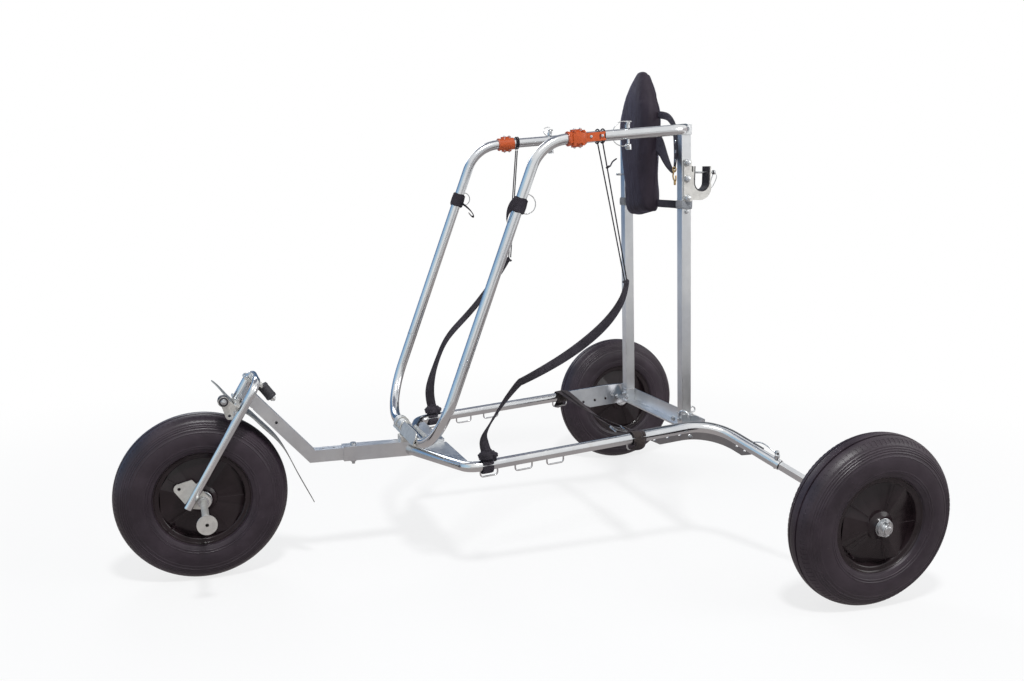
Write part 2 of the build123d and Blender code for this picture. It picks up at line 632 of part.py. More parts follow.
cross_pin = rod((-568, cross_y, pin_z), (-496, cross_y, pin_z), 2.5) + rod((-568, cross_y, pin_z), (-563, cross_y, pin_z), 5)
nodes["hanger_left"] = hanger
nodes["hanger_right"] = mirrored(hanger)
nodes["hanger_linings"] = Compound(children=[lining, mirrored(lining)])
nodes["hanger_pins"] = Compound(children=[cross_pin, mirrored(cross_pin)])

# Clips that hold the stub axles and the rear wheels

clip_r = 3
clip_spot = tube_end - along * 12
clip_hole = rod(clip_spot - normal * 30, clip_spot + normal * 30, clip_r + 0.1)
end_spot = wheel_mid + spin_dir * (hub_half + 7)
end_up = Vector(0, -spin_dir.Z, spin_dir.Y)
end_hole = rod(end_spot - end_up * 20, end_spot + end_up * 20, 2.1)
for part in ("side_tube", "axle"):
    cut = nodes[part + "_left"] - clip_hole - end_hole
    nodes[part + "_left"] = cut
    nodes[part + "_right"] = mirrored(cut)
clip = rod(clip_spot - normal * 24, clip_spot + normal * 16, clip_r)
clip += rod(clip_spot - normal * 24, clip_spot - normal * (tube_r + 0.5), 6)
end_pin = rod(end_spot - end_up * 16, end_spot + end_up * 14, 2)
end_pin += rod(end_spot + end_up * 11, end_spot + end_up * 16, 3.5)
nodes["axle_clips"] = Compound(children=[clip, end_pin, mirrored(clip), mirrored(end_pin)])

# Seat back pad and webbing, plain closed forms

pad_front_x = -413
pad_t = 52
pad_back_x = pad_front_x - pad_t
pad_rows = [(1191, 0, 28), (1130, 38, 34), (1070, 58, 34), (960, 54, 32), (874, 42, 24)]    # height, half spread, radius
pad_corners = [(Pos(s * y, z) * Circle(r)).edge() for z, y, r in pad_rows for s in ((1, -1) if y else (1,))]
nodes["back_pad"] = extrude(Plane(origin=(pad_back_x, 0, 0), x_dir=(0, 1, 0), z_dir=(1, 0, 0)) * make_hull(pad_corners), pad_t)

web_band = 2.2
strap_z = 862
strap_h = 20
front_face = upright_x(strap_z) + half
band = box_between((pad_back_x - web_band, 48, strap_z), (pad_back_x, upright_y - half, strap_z + strap_h))
band += box_between((front_face + fit_gap, upright_y - half - 10, strap_z), (pad_back_x, upright_y - half + 2, strap_z + strap_h))
loop_out = half + fit_gap + web_band
loop_band = Pos(upright_x(strap_z + strap_h / 2), upright_y, strap_z + strap_h / 2) * (
    Box(2 * loop_out, 2 * loop_out, strap_h) - Box(2 * (half + fit_gap + 0.4), 2 * (half + fit_gap), strap_h))
band = band + loop_band - upright
nodes["pad_straps"] = Compound(children=[band, mirrored(band)])

seat_webs = {                                  # X, Z down the middle of each hanging strap
    "left": [(56, 288), (70, 342), (53, 376), (16, 433), (-21, 473), (-121, 519), (-222, 586), (-273, 643), (-294, 691)],
    "right": [(56, 288), (66, 375), (28, 485), (-36, 552), (-139, 674), (-168, 720)],
}
cord_tops = {"left": [-202, -216], "right": [-184]}
cord_r = 1.5
wrap_t = 2.5
web_width = 24
for end, path in seat_webs.items():
    y = frame_half_width if end == "left" else -frame_half_width
    out = 1 if end == "left" else -1
    face = trace(Polyline(*path), line_width=web_width)
    strap = extrude(Plane(origin=(0, y + web_band / 2, 0), x_dir=(1, 0, 0), z_dir=(0, -1, 0)) * face, web_band)
    foot_x = path[0][0]
    a, b = (Vector(foot_x + dx, y, frame_z(foot_x + dx)) for dx in (-12, 12))
    tube_line = rod(a + (a - b) * 3, b + (b - a) * 3, tube_r + fit_gap)
    strap = strap - rod(a + (a - b) * 3, b + (b - a) * 3, tube_r + fit_gap) + (rod(a, b, tube_r + fit_gap + wrap_t) - tube_line)
    nodes["seat_strap_" + end] = strap
    low = Vector(path[-1][0], y, path[-1][1] + 8)
    cords = []
    for x in cord_tops[end]:
        top = Vector(x, y + out * (tube_r + latch_t / 2 - 3), top_z(x) - latch_height / 2 - 0.3)
        cords.append(rod(low + Vector((x - low.X) * 0.1, 0, 0), top, cord_r))
    nodes["seat_cords_" + end] = Compound(children=cords)

belt_x = loop_table[-1]
belt_z = frame_z(belt_x)
belt_width = 26
belt = box_between((belt_x - belt_width / 2, -frame_half_width, belt_z - 1), (belt_x + belt_width / 2, frame_half_width, belt_z + 1.2))
for s in (1, -1):
    a, b = (Vector(belt_x + dx, s * frame_half_width, frame_z(belt_x + dx)) for dx in (-belt_width / 2, belt_width / 2))
    belt = belt + rod(a, b, tube_r + fit_gap + wrap_t)
for s in (1, -1):
    a, b = (Vector(belt_x + dx, s * frame_half_width, frame_z(belt_x + dx)) for dx in (-60, 60))
    belt = belt - rod(a, b, tube_r + fit_gap)
nodes["cross_straps"] = largest(belt)

os.makedirs("parts", exist_ok=True)
for name, shape in nodes.items():
    export_step(shape, f"parts/{name}.step")
    print(name, len(shape.solids()))
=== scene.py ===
import bpy
import bmesh
import math
from mathutils import Matrix, Vector, noise


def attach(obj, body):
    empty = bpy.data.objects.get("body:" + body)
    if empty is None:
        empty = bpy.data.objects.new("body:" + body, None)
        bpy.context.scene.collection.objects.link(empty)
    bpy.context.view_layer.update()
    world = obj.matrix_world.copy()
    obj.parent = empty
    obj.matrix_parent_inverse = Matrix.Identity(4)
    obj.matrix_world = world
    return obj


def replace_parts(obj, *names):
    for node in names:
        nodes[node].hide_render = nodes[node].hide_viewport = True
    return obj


# A three-wheeled flying trike. Shapes are drawn in millimetres and scaled when a piece is finished.

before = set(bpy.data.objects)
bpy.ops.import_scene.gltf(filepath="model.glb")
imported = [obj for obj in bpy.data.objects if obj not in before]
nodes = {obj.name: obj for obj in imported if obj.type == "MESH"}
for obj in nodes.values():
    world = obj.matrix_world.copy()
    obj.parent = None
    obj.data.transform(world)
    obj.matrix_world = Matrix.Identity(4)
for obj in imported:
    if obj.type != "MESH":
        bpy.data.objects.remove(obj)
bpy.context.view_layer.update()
stage = bpy.context.scene
print("frame loaded:", len(nodes), "nodes")


# Node tree helpers

def newShader(name, color, roughness, metallic=0.0):
    mat = bpy.data.materials.new(name)
    mat.use_nodes = True
    tree = mat.node_tree
    shader = tree.nodes["Principled BSDF"]
    shader.inputs["Base Color"].default_value = (*color, 1)
    shader.inputs["Roughness"].default_value = roughness
    shader.inputs["Metallic"].default_value = metallic
    return mat, tree, shader


def addNode(tree, kind, **values):
    node = tree.nodes.new("ShaderNode" + kind)
    for key, value in values.items():
        if key in node.inputs:
            node.inputs[key].default_value = value
        else:
            setattr(node, key, value)
    return node


def coordsOf(tree, source="Object", scale=(1, 1, 1)):
    coords = addNode(tree, "TexCoord")
    mapping = addNode(tree, "Mapping")
    mapping.inputs["Scale"].default_value = scale
    tree.links.new(coords.outputs[source], mapping.inputs["Vector"])
    return mapping.outputs["Vector"]


def noiseOf(tree, coords, scale, detail=3.0, roughness=0.55):
    node = addNode(tree, "TexNoise", Scale=scale, Detail=detail, Roughness=roughness)
    tree.links.new(coords, node.inputs["Vector"])
    return node.outputs["Fac"]


def rampOf(tree, factor, *stops):
    node = addNode(tree, "ValToRGB")
    elements = node.color_ramp.elements
    while len(elements) < len(stops):
        elements.new(0.5)
    for element, (place, color) in zip(elements, stops):
        element.position = place
        element.color = (*color, 1) if isinstance(color, tuple) else (color, color, color, 1)
    tree.links.new(factor, node.inputs["Fac"])
    return node.outputs["Color"]


def mixOf(tree, factor, first, second, mode="MIX"):
    node = addNode(tree, "Mix", data_type="RGBA", blend_type=mode)
    sockets = [s for s in node.inputs if s.type == "RGBA"]
    if isinstance(factor, float):
        node.inputs[0].default_value = factor
    else:
        tree.links.new(factor, node.inputs[0])
    for socket, value in zip(sockets, (first, second)):
        if isinstance(value, tuple):
            socket.default_value = (*value, 1)
        else:
            tree.links.new(value, socket)
    return [s for s in node.outputs if s.type == "RGBA"][0]


def bumpOf(tree, shader, height, strength, distance, below=None):
    node = addNode(tree, "Bump", Strength=strength, Distance=distance)
    tree.links.new(height, node.inputs["Height"])
    if below is not None:
        tree.links.new(below, node.inputs["Normal"])
    tree.links.new(node.outputs["Normal"], shader.inputs["Normal"])
    return node.outputs["Normal"]


# Finishes

zincLook = {"dark": (0.56, 0.58, 0.61), "mid": (0.66, 0.675, 0.69), "light": (0.74, 0.745, 0.745),
            "stain": (0.52, 0.45, 0.37)}


def zincFinish(name, spangle=0.0, smoothest=0.13, roughest=0.24, shade=1.0):
    # zinc on steel: calm grey clouds, faint drawn streaks and a few warm stains; a shade below 1 adds painted shade,
    # darkening the whole colour and tinting it slightly blue
    mat, tree, shader = newShader(name, zincLook["mid"], smoothest, 1.0)
    coords = coordsOf(tree)
    cloud = noiseOf(tree, coords, 5, 3)
    color = rampOf(tree, cloud, (0.3, zincLook["dark"]), (0.5, zincLook["mid"]), (0.7, zincLook["light"]))
    if spangle:
        cells = addNode(tree, "TexVoronoi", Scale=90.0, feature="F1")
        tree.links.new(coords, cells.inputs["Vector"])
        flakes = rampOf(tree, cells.outputs["Color"], (0.2, 0.82), (0.8, 1.0))
        color = mixOf(tree, spangle, color, flakes, "MULTIPLY")
    # painted shade: the colour is multiplied darker and slightly bluer to stand in for shade falling on the part
    if shade < 1:
        color = mixOf(tree, 1.0, color, (shade, shade, shade * 1.03), "MULTIPLY")
    stain = rampOf(tree, noiseOf(tree, coords, 17, 6, 0.7), (0.62, 0.0), (0.8, 1.0))
    color = mixOf(tree, stain, color, mixOf(tree, 0.5, color, zincLook["stain"]))
    tree.links.new(color, shader.inputs["Base Color"])
    worn = noiseOf(tree, coordsOf(tree, scale=(1, 1, 0.3)), 45, 5)
    tree.links.new(rampOf(tree, worn, (0.35, smoothest), (0.8, roughest)), shader.inputs["Roughness"])
    bumpOf(tree, shader, noiseOf(tree, coords, 14, 2), 0.05, 0.001)
    return mat


def metalFinish(name, color, roughness, wear=0.12):
    mat, tree, shader = newShader(name, color, roughness, 1.0)
    coords = coordsOf(tree)
    dull = tuple(c * (1 - 3 * wear) for c in color)
    tree.links.new(rampOf(tree, noiseOf(tree, coords, 70, 5), (0.3, dull), (0.65, color)), shader.inputs["Base Color"])
    fine = noiseOf(tree, coords, 700, 3)
    tree.links.new(rampOf(tree, fine, (0.3, roughness * 0.8), (0.7, roughness * 1.5)), shader.inputs["Roughness"])
    bumpOf(tree, shader, fine, 0.1, 0.0003)
    return mat


def plainFinish(name, color, roughness, grain=500, height=0.0003, fleck=0.25, specular=0.5):
    # plastic, rubber and paint: two shades of one colour, fine grain and dull patches
    mat, tree, shader = newShader(name, color, roughness)
    shader.inputs["Specular IOR Level"].default_value = specular
    coords = coordsOf(tree)
    paler = tuple(min(1.0, c * (1 + fleck) + 0.004) for c in color)
    tree.links.new(rampOf(tree, noiseOf(tree, coords, 14, 6), (0.35, color), (0.7, paler)), shader.inputs["Base Color"])
    patches = noiseOf(tree, coords, 40, 4)
    tree.links.new(rampOf(tree, patches, (0.3, roughness * 0.85), (0.7, min(1, roughness * 1.2))),
                   shader.inputs["Roughness"])
    bumpOf(tree, shader, noiseOf(tree, coords, grain, 3), 0.35, height)
    return mat


def tyreFinish():
    # black rubber gone slightly violet, with pale dust in patches and moulding grain
    mat, tree, shader = newShader("tyreRubber", (0.028, 0.021, 0.027), 0.5)
    coords = coordsOf(tree)
    dust = rampOf(tree, noiseOf(tree, coords, 11, 7, 0.62), (0.38, 0.0), (0.75, 1.0))
    rubber = mixOf(tree, dust, (0.019, 0.012, 0.018), (0.040, 0.027, 0.037))
    specks = rampOf(tree, noiseOf(tree, coords, 190, 4, 0.7), (0.66, 0.0), (0.76, 1.0))
    rubber = mixOf(tree, specks, rubber, (0.075, 0.058, 0.066))
    tree.links.new(rubber, shader.inputs["Base Color"])
    tree.links.new(rampOf(tree, dust, (0.0, 0.36), (1.0, 0.54)), shader.inputs["Roughness"])
    shader.inputs["Specular IOR Level"].default_value = 0.38
    bumpOf(tree, shader, noiseOf(tree, coords, 520, 4), 0.2, 0.0004)
    return mat


def weaveFinish(name, color, paler, threads, roughness=0.75, sheen=0.12, source="UV"):
    # two crossing sets of threads with a twill step, worn paler in patches
    mat, tree, shader = newShader(name, color, roughness)
    shader.inputs["Sheen Weight"].default_value = sheen
    shader.inputs["Sheen Roughness"].default_value = 0.4
    shader.inputs["Sheen Tint"].default_value = (0.55, 0.5, 0.75, 1)
    shader.inputs["Specular IOR Level"].default_value = 0.3
    coords = coordsOf(tree, source)
    bands = []
    for direction in ("X", "Y"):
        wave = addNode(tree, "TexWave", Scale=threads, bands_direction=direction, Distortion=0.4, Detail=1.0)
        tree.links.new(coords, wave.inputs["Vector"])
        bands.append(wave.outputs["Fac"])
    cross = addNode(tree, "Math", operation="MULTIPLY")
    tree.links.new(bands[0], cross.inputs[0])
    tree.links.new(bands[1], cross.inputs[1])
    worn = noiseOf(tree, coordsOf(tree), 16, 6)
    ground = mixOf(tree, rampOf(tree, worn, (0.4, 0.0), (0.72, 0.8)), color, paler)
    shade = rampOf(tree, cross.outputs[0], (0.0, 0.62), (0.6, 1.0))
    tree.links.new(mixOf(tree, 0.8, ground, shade, "MULTIPLY"), shader.inputs["Base Color"])
    bumpOf(tree, shader, cross.outputs[0], 0.5, 0.0006)
    return mat


def padFinish():
    # dark nylon cover: fine weave, broad soft wrinkles and a violet bloom
    mat, tree, shader = newShader("padCover", (0.020, 0.016, 0.024), 0.66)
    shader.inputs["Specular IOR Level"].default_value = 0.25
    shader.inputs["Sheen Weight"].default_value = 0.12
    shader.inputs["Sheen Roughness"].default_value = 0.35
    shader.inputs["Sheen Tint"].default_value = (0.45, 0.48, 0.95, 1)
    coords = coordsOf(tree)
    bloom = rampOf(tree, noiseOf(tree, coords, 9, 6), (0.35, 0.0), (0.75, 1.0))
    tree.links.new(mixOf(tree, bloom, (0.017, 0.011, 0.018), (0.030, 0.021, 0.034)), shader.inputs["Base Color"])
    weave = addNode(tree, "TexWave", Scale=330.0, bands_direction="Z", Distortion=0.6, Detail=1.0)
    cross = addNode(tree, "TexWave", Scale=330.0, bands_direction="Y", Distortion=0.6, Detail=1.0)
    tree.links.new(coords, weave.inputs["Vector"])
    tree.links.new(coords, cross.inputs["Vector"])
    both = addNode(tree, "Math", operation="MULTIPLY")
    tree.links.new(weave.outputs["Fac"], both.inputs[0])
    tree.links.new(cross.outputs["Fac"], both.inputs[1])
    fine = bumpOf(tree, shader, both.outputs[0], 0.3, 0.0005)
    bumpOf(tree, shader, noiseOf(tree, coordsOf(tree, scale=(1, 1.6, 0.7)), 26, 3), 0.5, 0.006, fine)
    return mat


zincTube = zincFinish("zincTube")
zincPlate = zincFinish("zincPlate", 0.2, 0.3, 0.42)
# web plates: rougher spangled zinc, darkened by painted shade (shade 0.45) for the shade under the side tubes
zincDull = zincFinish("zincDull", 0.4, 0.28, 0.45, 0.45)
zincPale = metalFinish("zincPale", (0.66, 0.655, 0.63), 0.5, 0.06)
boltSteel = metalFinish("boltSteel", (0.62, 0.64, 0.66), 0.24)
darkSteel = metalFinish("darkSteel", (0.10, 0.105, 0.12), 0.4)
guardSteel = metalFinish("guardSteel", (0.36, 0.37, 0.37), 0.45)
wireSteel = metalFinish("wireSteel", (0.55, 0.56, 0.57), 0.3)
brassClip = metalFinish("brassClip", (0.66, 0.44, 0.20), 0.35)
orangeCoat = plainFinish("orangeCoat", (0.43, 0.066, 0.009), 0.33, 300, 0.0004, 0.25)
blackRubber = plainFinish("blackRubber", (0.017, 0.016, 0.020), 0.55, 420, 0.0004, 0.6)
rimPlastic = plainFinish("rimPlastic", (0.0120, 0.0070, 0.0085), 0.22, 260, 0.0001, 0.5, 0.32)
tyreRubber = tyreFinish()
padCover = padFinish()
strapWeave = weaveFinish("strapWeave", (0.022, 0.018, 0.024), (0.06, 0.052, 0.066), 480)
beltWeave = weaveFinish("beltWeave", (0.030, 0.022, 0.020), (0.085, 0.066, 0.058), 480)
weldSteel = metalFinish("weldSteel", (0.46, 0.46, 0.47), 0.4)
knotWeave = weaveFinish("knotWeave", (0.022, 0.018, 0.024), (0.06, 0.052, 0.066), 420, source="Object")
loopWeave = weaveFinish("loopWeave", (0.30, 0.31, 0.33), (0.42, 0.43, 0.44), 480)
cordWeave = weaveFinish("cordWeave", (0.016, 0.014, 0.018), (0.05, 0.045, 0.055), 900, source="Object")
wrapFelt = plainFinish("wrapFelt", (0.020, 0.017, 0.022), 0.85, 900, 0.0012, 0.8, 0.2)
print("finishes made")


# Modelling helpers, all in millimetres

def turnTo(direction):
    return Vector(direction).to_track_quat("Z", "Y").to_matrix().to_4x4()


def fuse(bm, part, matrix=None):
    # adds one finished shape to a piece
    if matrix is not None:
        bmesh.ops.transform(part, matrix=matrix, verts=part.verts)
    bmesh.ops.recalc_face_normals(part, faces=part.faces)
    mesh = bpy.data.meshes.new("part")
    part.to_mesh(mesh)
    part.free()
    bm.from_mesh(mesh)
    bpy.data.meshes.remove(mesh)


def finishPiece(name, bm, body, material, sharp):
    # the drawn shape becomes a piece in metres that rides on its body
    bmesh.ops.scale(bm, vec=(0.001, 0.001, 0.001), verts=bm.verts)
    mesh = bpy.data.meshes.new(name)
    bm.to_mesh(mesh)
    bm.free()
    mesh.materials.append(material)
    mesh.shade_smooth()
    mesh.set_sharp_from_angle(angle=math.radians(sharp))
    piece = bpy.data.objects.new(name, mesh)
    stage.collection.objects.link(piece)
    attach(piece, body)
    return piece


def spun(profile, steps, closed=False):
    # turns a list of (radius, height) about Z
    part = bmesh.new()
    verts = [part.verts.new((r, 0, h)) for r, h in profile]
    pairs = list(zip(verts, verts[1:])) + ([(verts[-1], verts[0])] if closed else [])
    edges = [part.edges.new(pair) for pair in pairs]
    bmesh.ops.spin(part, geom=verts + edges, cent=(0, 0, 0), axis=(0, 0, 1), angle=math.tau, steps=steps,
                   use_merge=True, use_duplicate=False)
    bmesh.ops.remove_doubles(part, verts=part.verts, dist=0.0005)
    return part


def addTurned(bm, profile, at, direction, steps=32, closed=False):
    fuse(bm, spun(profile, steps, closed), Matrix.Translation(Vector(at)) @ turnTo(direction))


def addRod(bm, start, end, radius, endRadius=None, segments=20, soften=0.0):
    start, end = Vector(start), Vector(end)
    part = bmesh.new()
    bmesh.ops.create_cone(part, cap_ends=True, segments=segments, radius1=radius,
                          radius2=radius if endRadius is None else endRadius, depth=(end - start).length)
    if soften:
        rims = [e for e in part.edges if any(len(f.verts) > 4 for f in e.link_faces)]
        bmesh.ops.bevel(part, geom=rims, offset=soften, segments=2, profile=0.5, affect="EDGES", material=-1)
    fuse(bm, part, Matrix.Translation((start + end) / 2) @ turnTo(end - start))


def addHex(bm, at, direction, across, height):
    # hexagon head or nut with chamfered corners, standing on at
    part = bmesh.new()
    bmesh.ops.create_cone(part, cap_ends=True, segments=6, radius1=across / math.sqrt(3),
                          radius2=across / math.sqrt(3), depth=height)
    bmesh.ops.bevel(part, geom=[e for e in part.edges if e.verts[0].co.z > 0 and e.verts[1].co.z > 0],
                    offset=height * 0.16, segments=2, profile=0.5, affect="EDGES", material=-1)
    direction = Vector(direction).normalized()
    fuse(bm, part, Matrix.Translation(Vector(at) + direction * height / 2) @ turnTo(direction))


def addBolt(bm, at, direction, across=10.0, height=5.0, washer=0.0, tail=0.0):
    # washer is the washer's radius as a share of the head, tail the thread that stands past it
    direction = Vector(direction).normalized()
    foot = Vector(at)
    if washer:
        r = across * washer
        addTurned(bm, [(0, 1.6), (r - 0.5, 1.6), (r, 1.1), (r, 0)], foot, direction, 24)
        foot = foot + direction * 1.5
    addHex(bm, foot, direction, across, height)
    if tail:
        addRod(bm, foot, foot + direction * (height + tail), across * 0.28, segments=14, soften=0.6)


def addBox(bm, centre, size, turn, soften):
    part = bmesh.new()
    bmesh.ops.create_cube(part, size=1)
    bmesh.ops.scale(part, vec=size, verts=part.verts)
    bmesh.ops.bevel(part, geom=part.edges[:], offset=soften, segments=2, profile=0.5, affect="EDGES", material=-1)
    fuse(bm, part, Matrix.Translation(Vector(centre)) @ turn)


def turnAbout(axis, degrees):
    return Matrix.Rotation(math.radians(degrees), 4, axis)


def routeMesh(points, closed, perSpan, radius=0.0, sides=0):
    # a smooth curve drawn by a route's own points, as a line or as a wire
    curve = bpy.data.curves.new("route", "CURVE")
    curve.dimensions = "3D"
    if radius:
        curve.bevel_depth = radius
        curve.bevel_resolution = sides
        curve.use_fill_caps = True
    spline = curve.splines.new("NURBS")
    spline.points.add(len(points) - 1)
    for slot, point in zip(spline.points, points):
        slot.co = (*point, 1)
    spline.order_u = 3
    spline.use_endpoint_u = not closed
    spline.use_cyclic_u = closed
    spline.resolution_u = perSpan
    holder = bpy.data.objects.new("route", curve)
    mesh = bpy.data.meshes.new_from_object(holder)
    bpy.data.objects.remove(holder)
    bpy.data.curves.remove(curve)
    return mesh


def smoothLine(points, perSpan, closed=False):
    mesh = routeMesh(points, closed, perSpan)
    line = [v.co.copy() for v in mesh.vertices]
    bpy.data.meshes.remove(mesh)
    return line


def addWire(bm, points, radius, closed=False, perSpan=6, sides=3):
    mesh = routeMesh(points, closed, perSpan, radius, sides)
    part = bmesh.new()
    part.from_mesh(mesh)
    bpy.data.meshes.remove(mesh)
    bmesh.ops.remove_doubles(part, verts=part.verts, dist=0.01)
    fuse(bm, part)


def ringPoints(centre, radius, normal, count=12):
    turn = turnTo(normal)
    angles = [math.radians(360 * k / count) for k in range(count)]
    return [Vector(centre) + turn @ Vector((radius * math.cos(a), radius * math.sin(a), 0)) for a in angles]


def ribbon(name, spine, across, widths, thickness, body, material):
    # flat webbing: one edge extruded along its line, then given its thickness
    bm = bmesh.new()
    uvLayer = bm.loops.layers.uv.new("UVMap")
    runs, travelled = [], 0.0
    for k, point in enumerate(spine):
        if k:
            travelled += (point - spine[k - 1]).length
        half = across[k].normalized() * widths[k] / 2
        runs.append((point - half, point + half, travelled))
    edge = bm.edges.new((bm.verts.new(runs[0][0]), bm.verts.new(runs[0][1])))
    place = {edge.verts[0]: (0.0, 0.0), edge.verts[1]: (0.0, widths[0])}
    for k in range(1, len(runs)):
        made = bmesh.ops.extrude_edge_only(bm, edges=[edge])["geom"]
        edge = next(g for g in made if isinstance(g, bmesh.types.BMEdge))
        old = [v for v in made if isinstance(v, bmesh.types.BMVert)]
        for vert in old:
            near = min((0, 1), key=lambda s: (vert.co - runs[k - 1][s]).length)
            vert.co = runs[k][near]
            place[vert] = (runs[k][2], near * widths[k])
    for face in bm.faces:
        for loop in face.loops:
            u, v = place[loop.vert]
            loop[uvLayer].uv = (u / 1000, v / 1000)
    bmesh.ops.recalc_face_normals(bm, faces=bm.faces)
    piece = finishPiece(name, bm, body, material, 60)
    thick = piece.modifiers.new("thickness", "SOLIDIFY")
    thick.thickness = thickness / 1000
    thick.offset = 0
    soften = piece.modifiers.new("smooth", "SUBSURF")
    soften.levels = soften.render_levels = 1
    return piece


def dress(finish, *names):
    for name in names:
        for slot in nodes[name].material_slots:
            slot.material = finish


# The camera stands where the photograph was taken from

view = {"eye": (0.7704, 2.4773, 0.9522), "pitch": 9.16, "yaw": 19.10, "lens": 36.33}
pitch, yaw = math.radians(view["pitch"]), math.radians(view["yaw"])
ahead = Vector((-math.sin(yaw) * math.cos(pitch), -math.cos(yaw) * math.cos(pitch), -math.sin(pitch)))
camera = bpy.data.cameras.new("camera")
camera.lens = view["lens"]
camera.sensor_width = 36
eye = bpy.data.objects.new("camera", camera)
eye.matrix_world = Matrix.Translation(view["eye"]) @ ahead.to_track_quat("-Z", "Y").to_matrix().to_4x4()
stage.collection.objects.link(eye)
stage.camera = eye
stage.view_settings.view_transform = "Standard"

# Lines of the frame that several pieces sit on

line = {"rise": math.tan(math.radians(5)), "halfWidth": 250, "midZ": 286, "topZ": 1019,
        "hoopLow": (188, 0, 317), "lean": 20, "uprightFoot": (-500.8, 311), "uprightLean": 1.73, "uprightY": 165}
lean = Vector((-math.sin(math.radians(line["lean"])), 0, math.cos(math.radians(line["lean"]))))


def frameZ(x):
    return line["midZ"] - line["rise"] * x


def topZ(x):
    return line["topZ"] - line["rise"] * x


def uprightX(z):
    x, low = line["uprightFoot"]
    return x + (z - low) * math.tan(math.radians(line["uprightLean"]))


def onLeg(distance, side=1):
    return Vector(line["hoopLow"]) + lean * distance + Vector((0, side * line["halfWidth"], 0))


# Wheels: ribbed tyre, fan-faced plastic rim, hub metalwork

tyreShape = {"radius": 200, "shoulder": (33, 188), "side": (49, 150.5), "bead": (41, 114), "steps": 200,
             "crown": (18, 3.4), "grooves": (9, 13), "grooveDepth": 4.5, "notch": 0.7, "notchBand": (22, 34.5),
             "notchFrom": 186, "sideRibs": (182.5, 178, 173.5, 169, 162, 129, 124), "ribHeight": 1.3,
             "ribHalf": 1.5, "toe": (111, 36)}
rimShape = {"lip": 112, "lipHalf": 37, "inner": 97, "discHalf": 24, "panels": 10, "pleat": 8.5, "middle": 36,
            "boss": 22, "bossHalf": 47, "steps": 96, "valve": ((66, 62, 24), (68, 64, 44)), "valveRadius": (2.6, 2.2)}
hubShape = {"washer": [(11, 52), (15.5, 52), (16.5, 51), (16.5, 48.2), (20, 48.2), (20.8, 47.6), (20.8, 46.5),
                       (11, 46.5)],
            "sleeve": [(10.4, 51.8), (10.4, 40), (15.2, 40), (15.2, 51.4)]}


def arcThrough(a, b, c, count):
    # points on the circle through three (y, r) points
    ax, ay, bx, by, cx, cy = *a, *b, *c
    d = 2 * (ax * (by - cy) + bx * (cy - ay) + cx * (ay - by))
    ux = ((ax * ax + ay * ay) * (by - cy) + (bx * bx + by * by) * (cy - ay) + (cx * cx + cy * cy) * (ay - by)) / d
    uy = ((ax * ax + ay * ay) * (cx - bx) + (bx * bx + by * by) * (ax - cx) + (cx * cx + cy * cy) * (bx - ax)) / d
    radius = math.hypot(ax - ux, ay - uy)
    first, last = math.atan2(ay - uy, ax - ux), math.atan2(cy - uy, cx - ux)
    angles = [first + (last - first) * k / count for k in range(count + 1)]
    return [(ux + radius * math.cos(a), uy + radius * math.sin(a)) for a in angles]


def tyreProfile():
    s = tyreShape
    low, high = s["grooves"]
    crownY, crownDrop = s["crown"]
    tread = arcThrough((0, s["radius"]), (crownY, s["radius"] - crownDrop), s["shoulder"], 12)
    half = [(r, y) for y, r in tread if not low < y < high]
    split = next(k for k, (r, y) in enumerate(half) if y >= high)
    base = s["radius"] - s["grooveDepth"]
    half[split:split] = [(s["radius"] - 0.8, low), (base, low + 0.4), (base, high - 0.4), (s["radius"] - 1.9, high)]
    for y, r in arcThrough(s["shoulder"], s["side"], s["bead"], 60)[1:]:
        raised = max(1 - abs(r - rib) / s["ribHalf"] for rib in s["sideRibs"])
        half.append((r, y + s["ribHeight"] * max(0.0, raised)))
    half.append(s["toe"])
    return [(r, -y) for r, y in reversed(half[1:])] + half


def buildTyre():
    s = tyreShape
    part = spun(tyreProfile(), s["steps"])
    bmesh.ops.recalc_face_normals(part, faces=part.faces)
    low, high = s["notchBand"]
    shoulder = []                                # every other face round the shoulder is pressed in
    for face in part.faces:
        middle = face.calc_center_median()
        step = int(round(math.atan2(middle.y, middle.x) / math.tau * s["steps"] - 0.5))
        if low < abs(middle.z) < high and math.hypot(middle.x, middle.y) > s["notchFrom"] and step % 2:
            shoulder.append(face)
    cut = bmesh.ops.extrude_face_region(part, geom=shoulder)["geom"]
    for vert in (g for g in cut if isinstance(g, bmesh.types.BMVert)):
        vert.co -= Vector((vert.co.x, vert.co.y, 0)).normalized() * s["notch"]
    bmesh.ops.delete(part, geom=shoulder, context="FACES_ONLY")
    return part


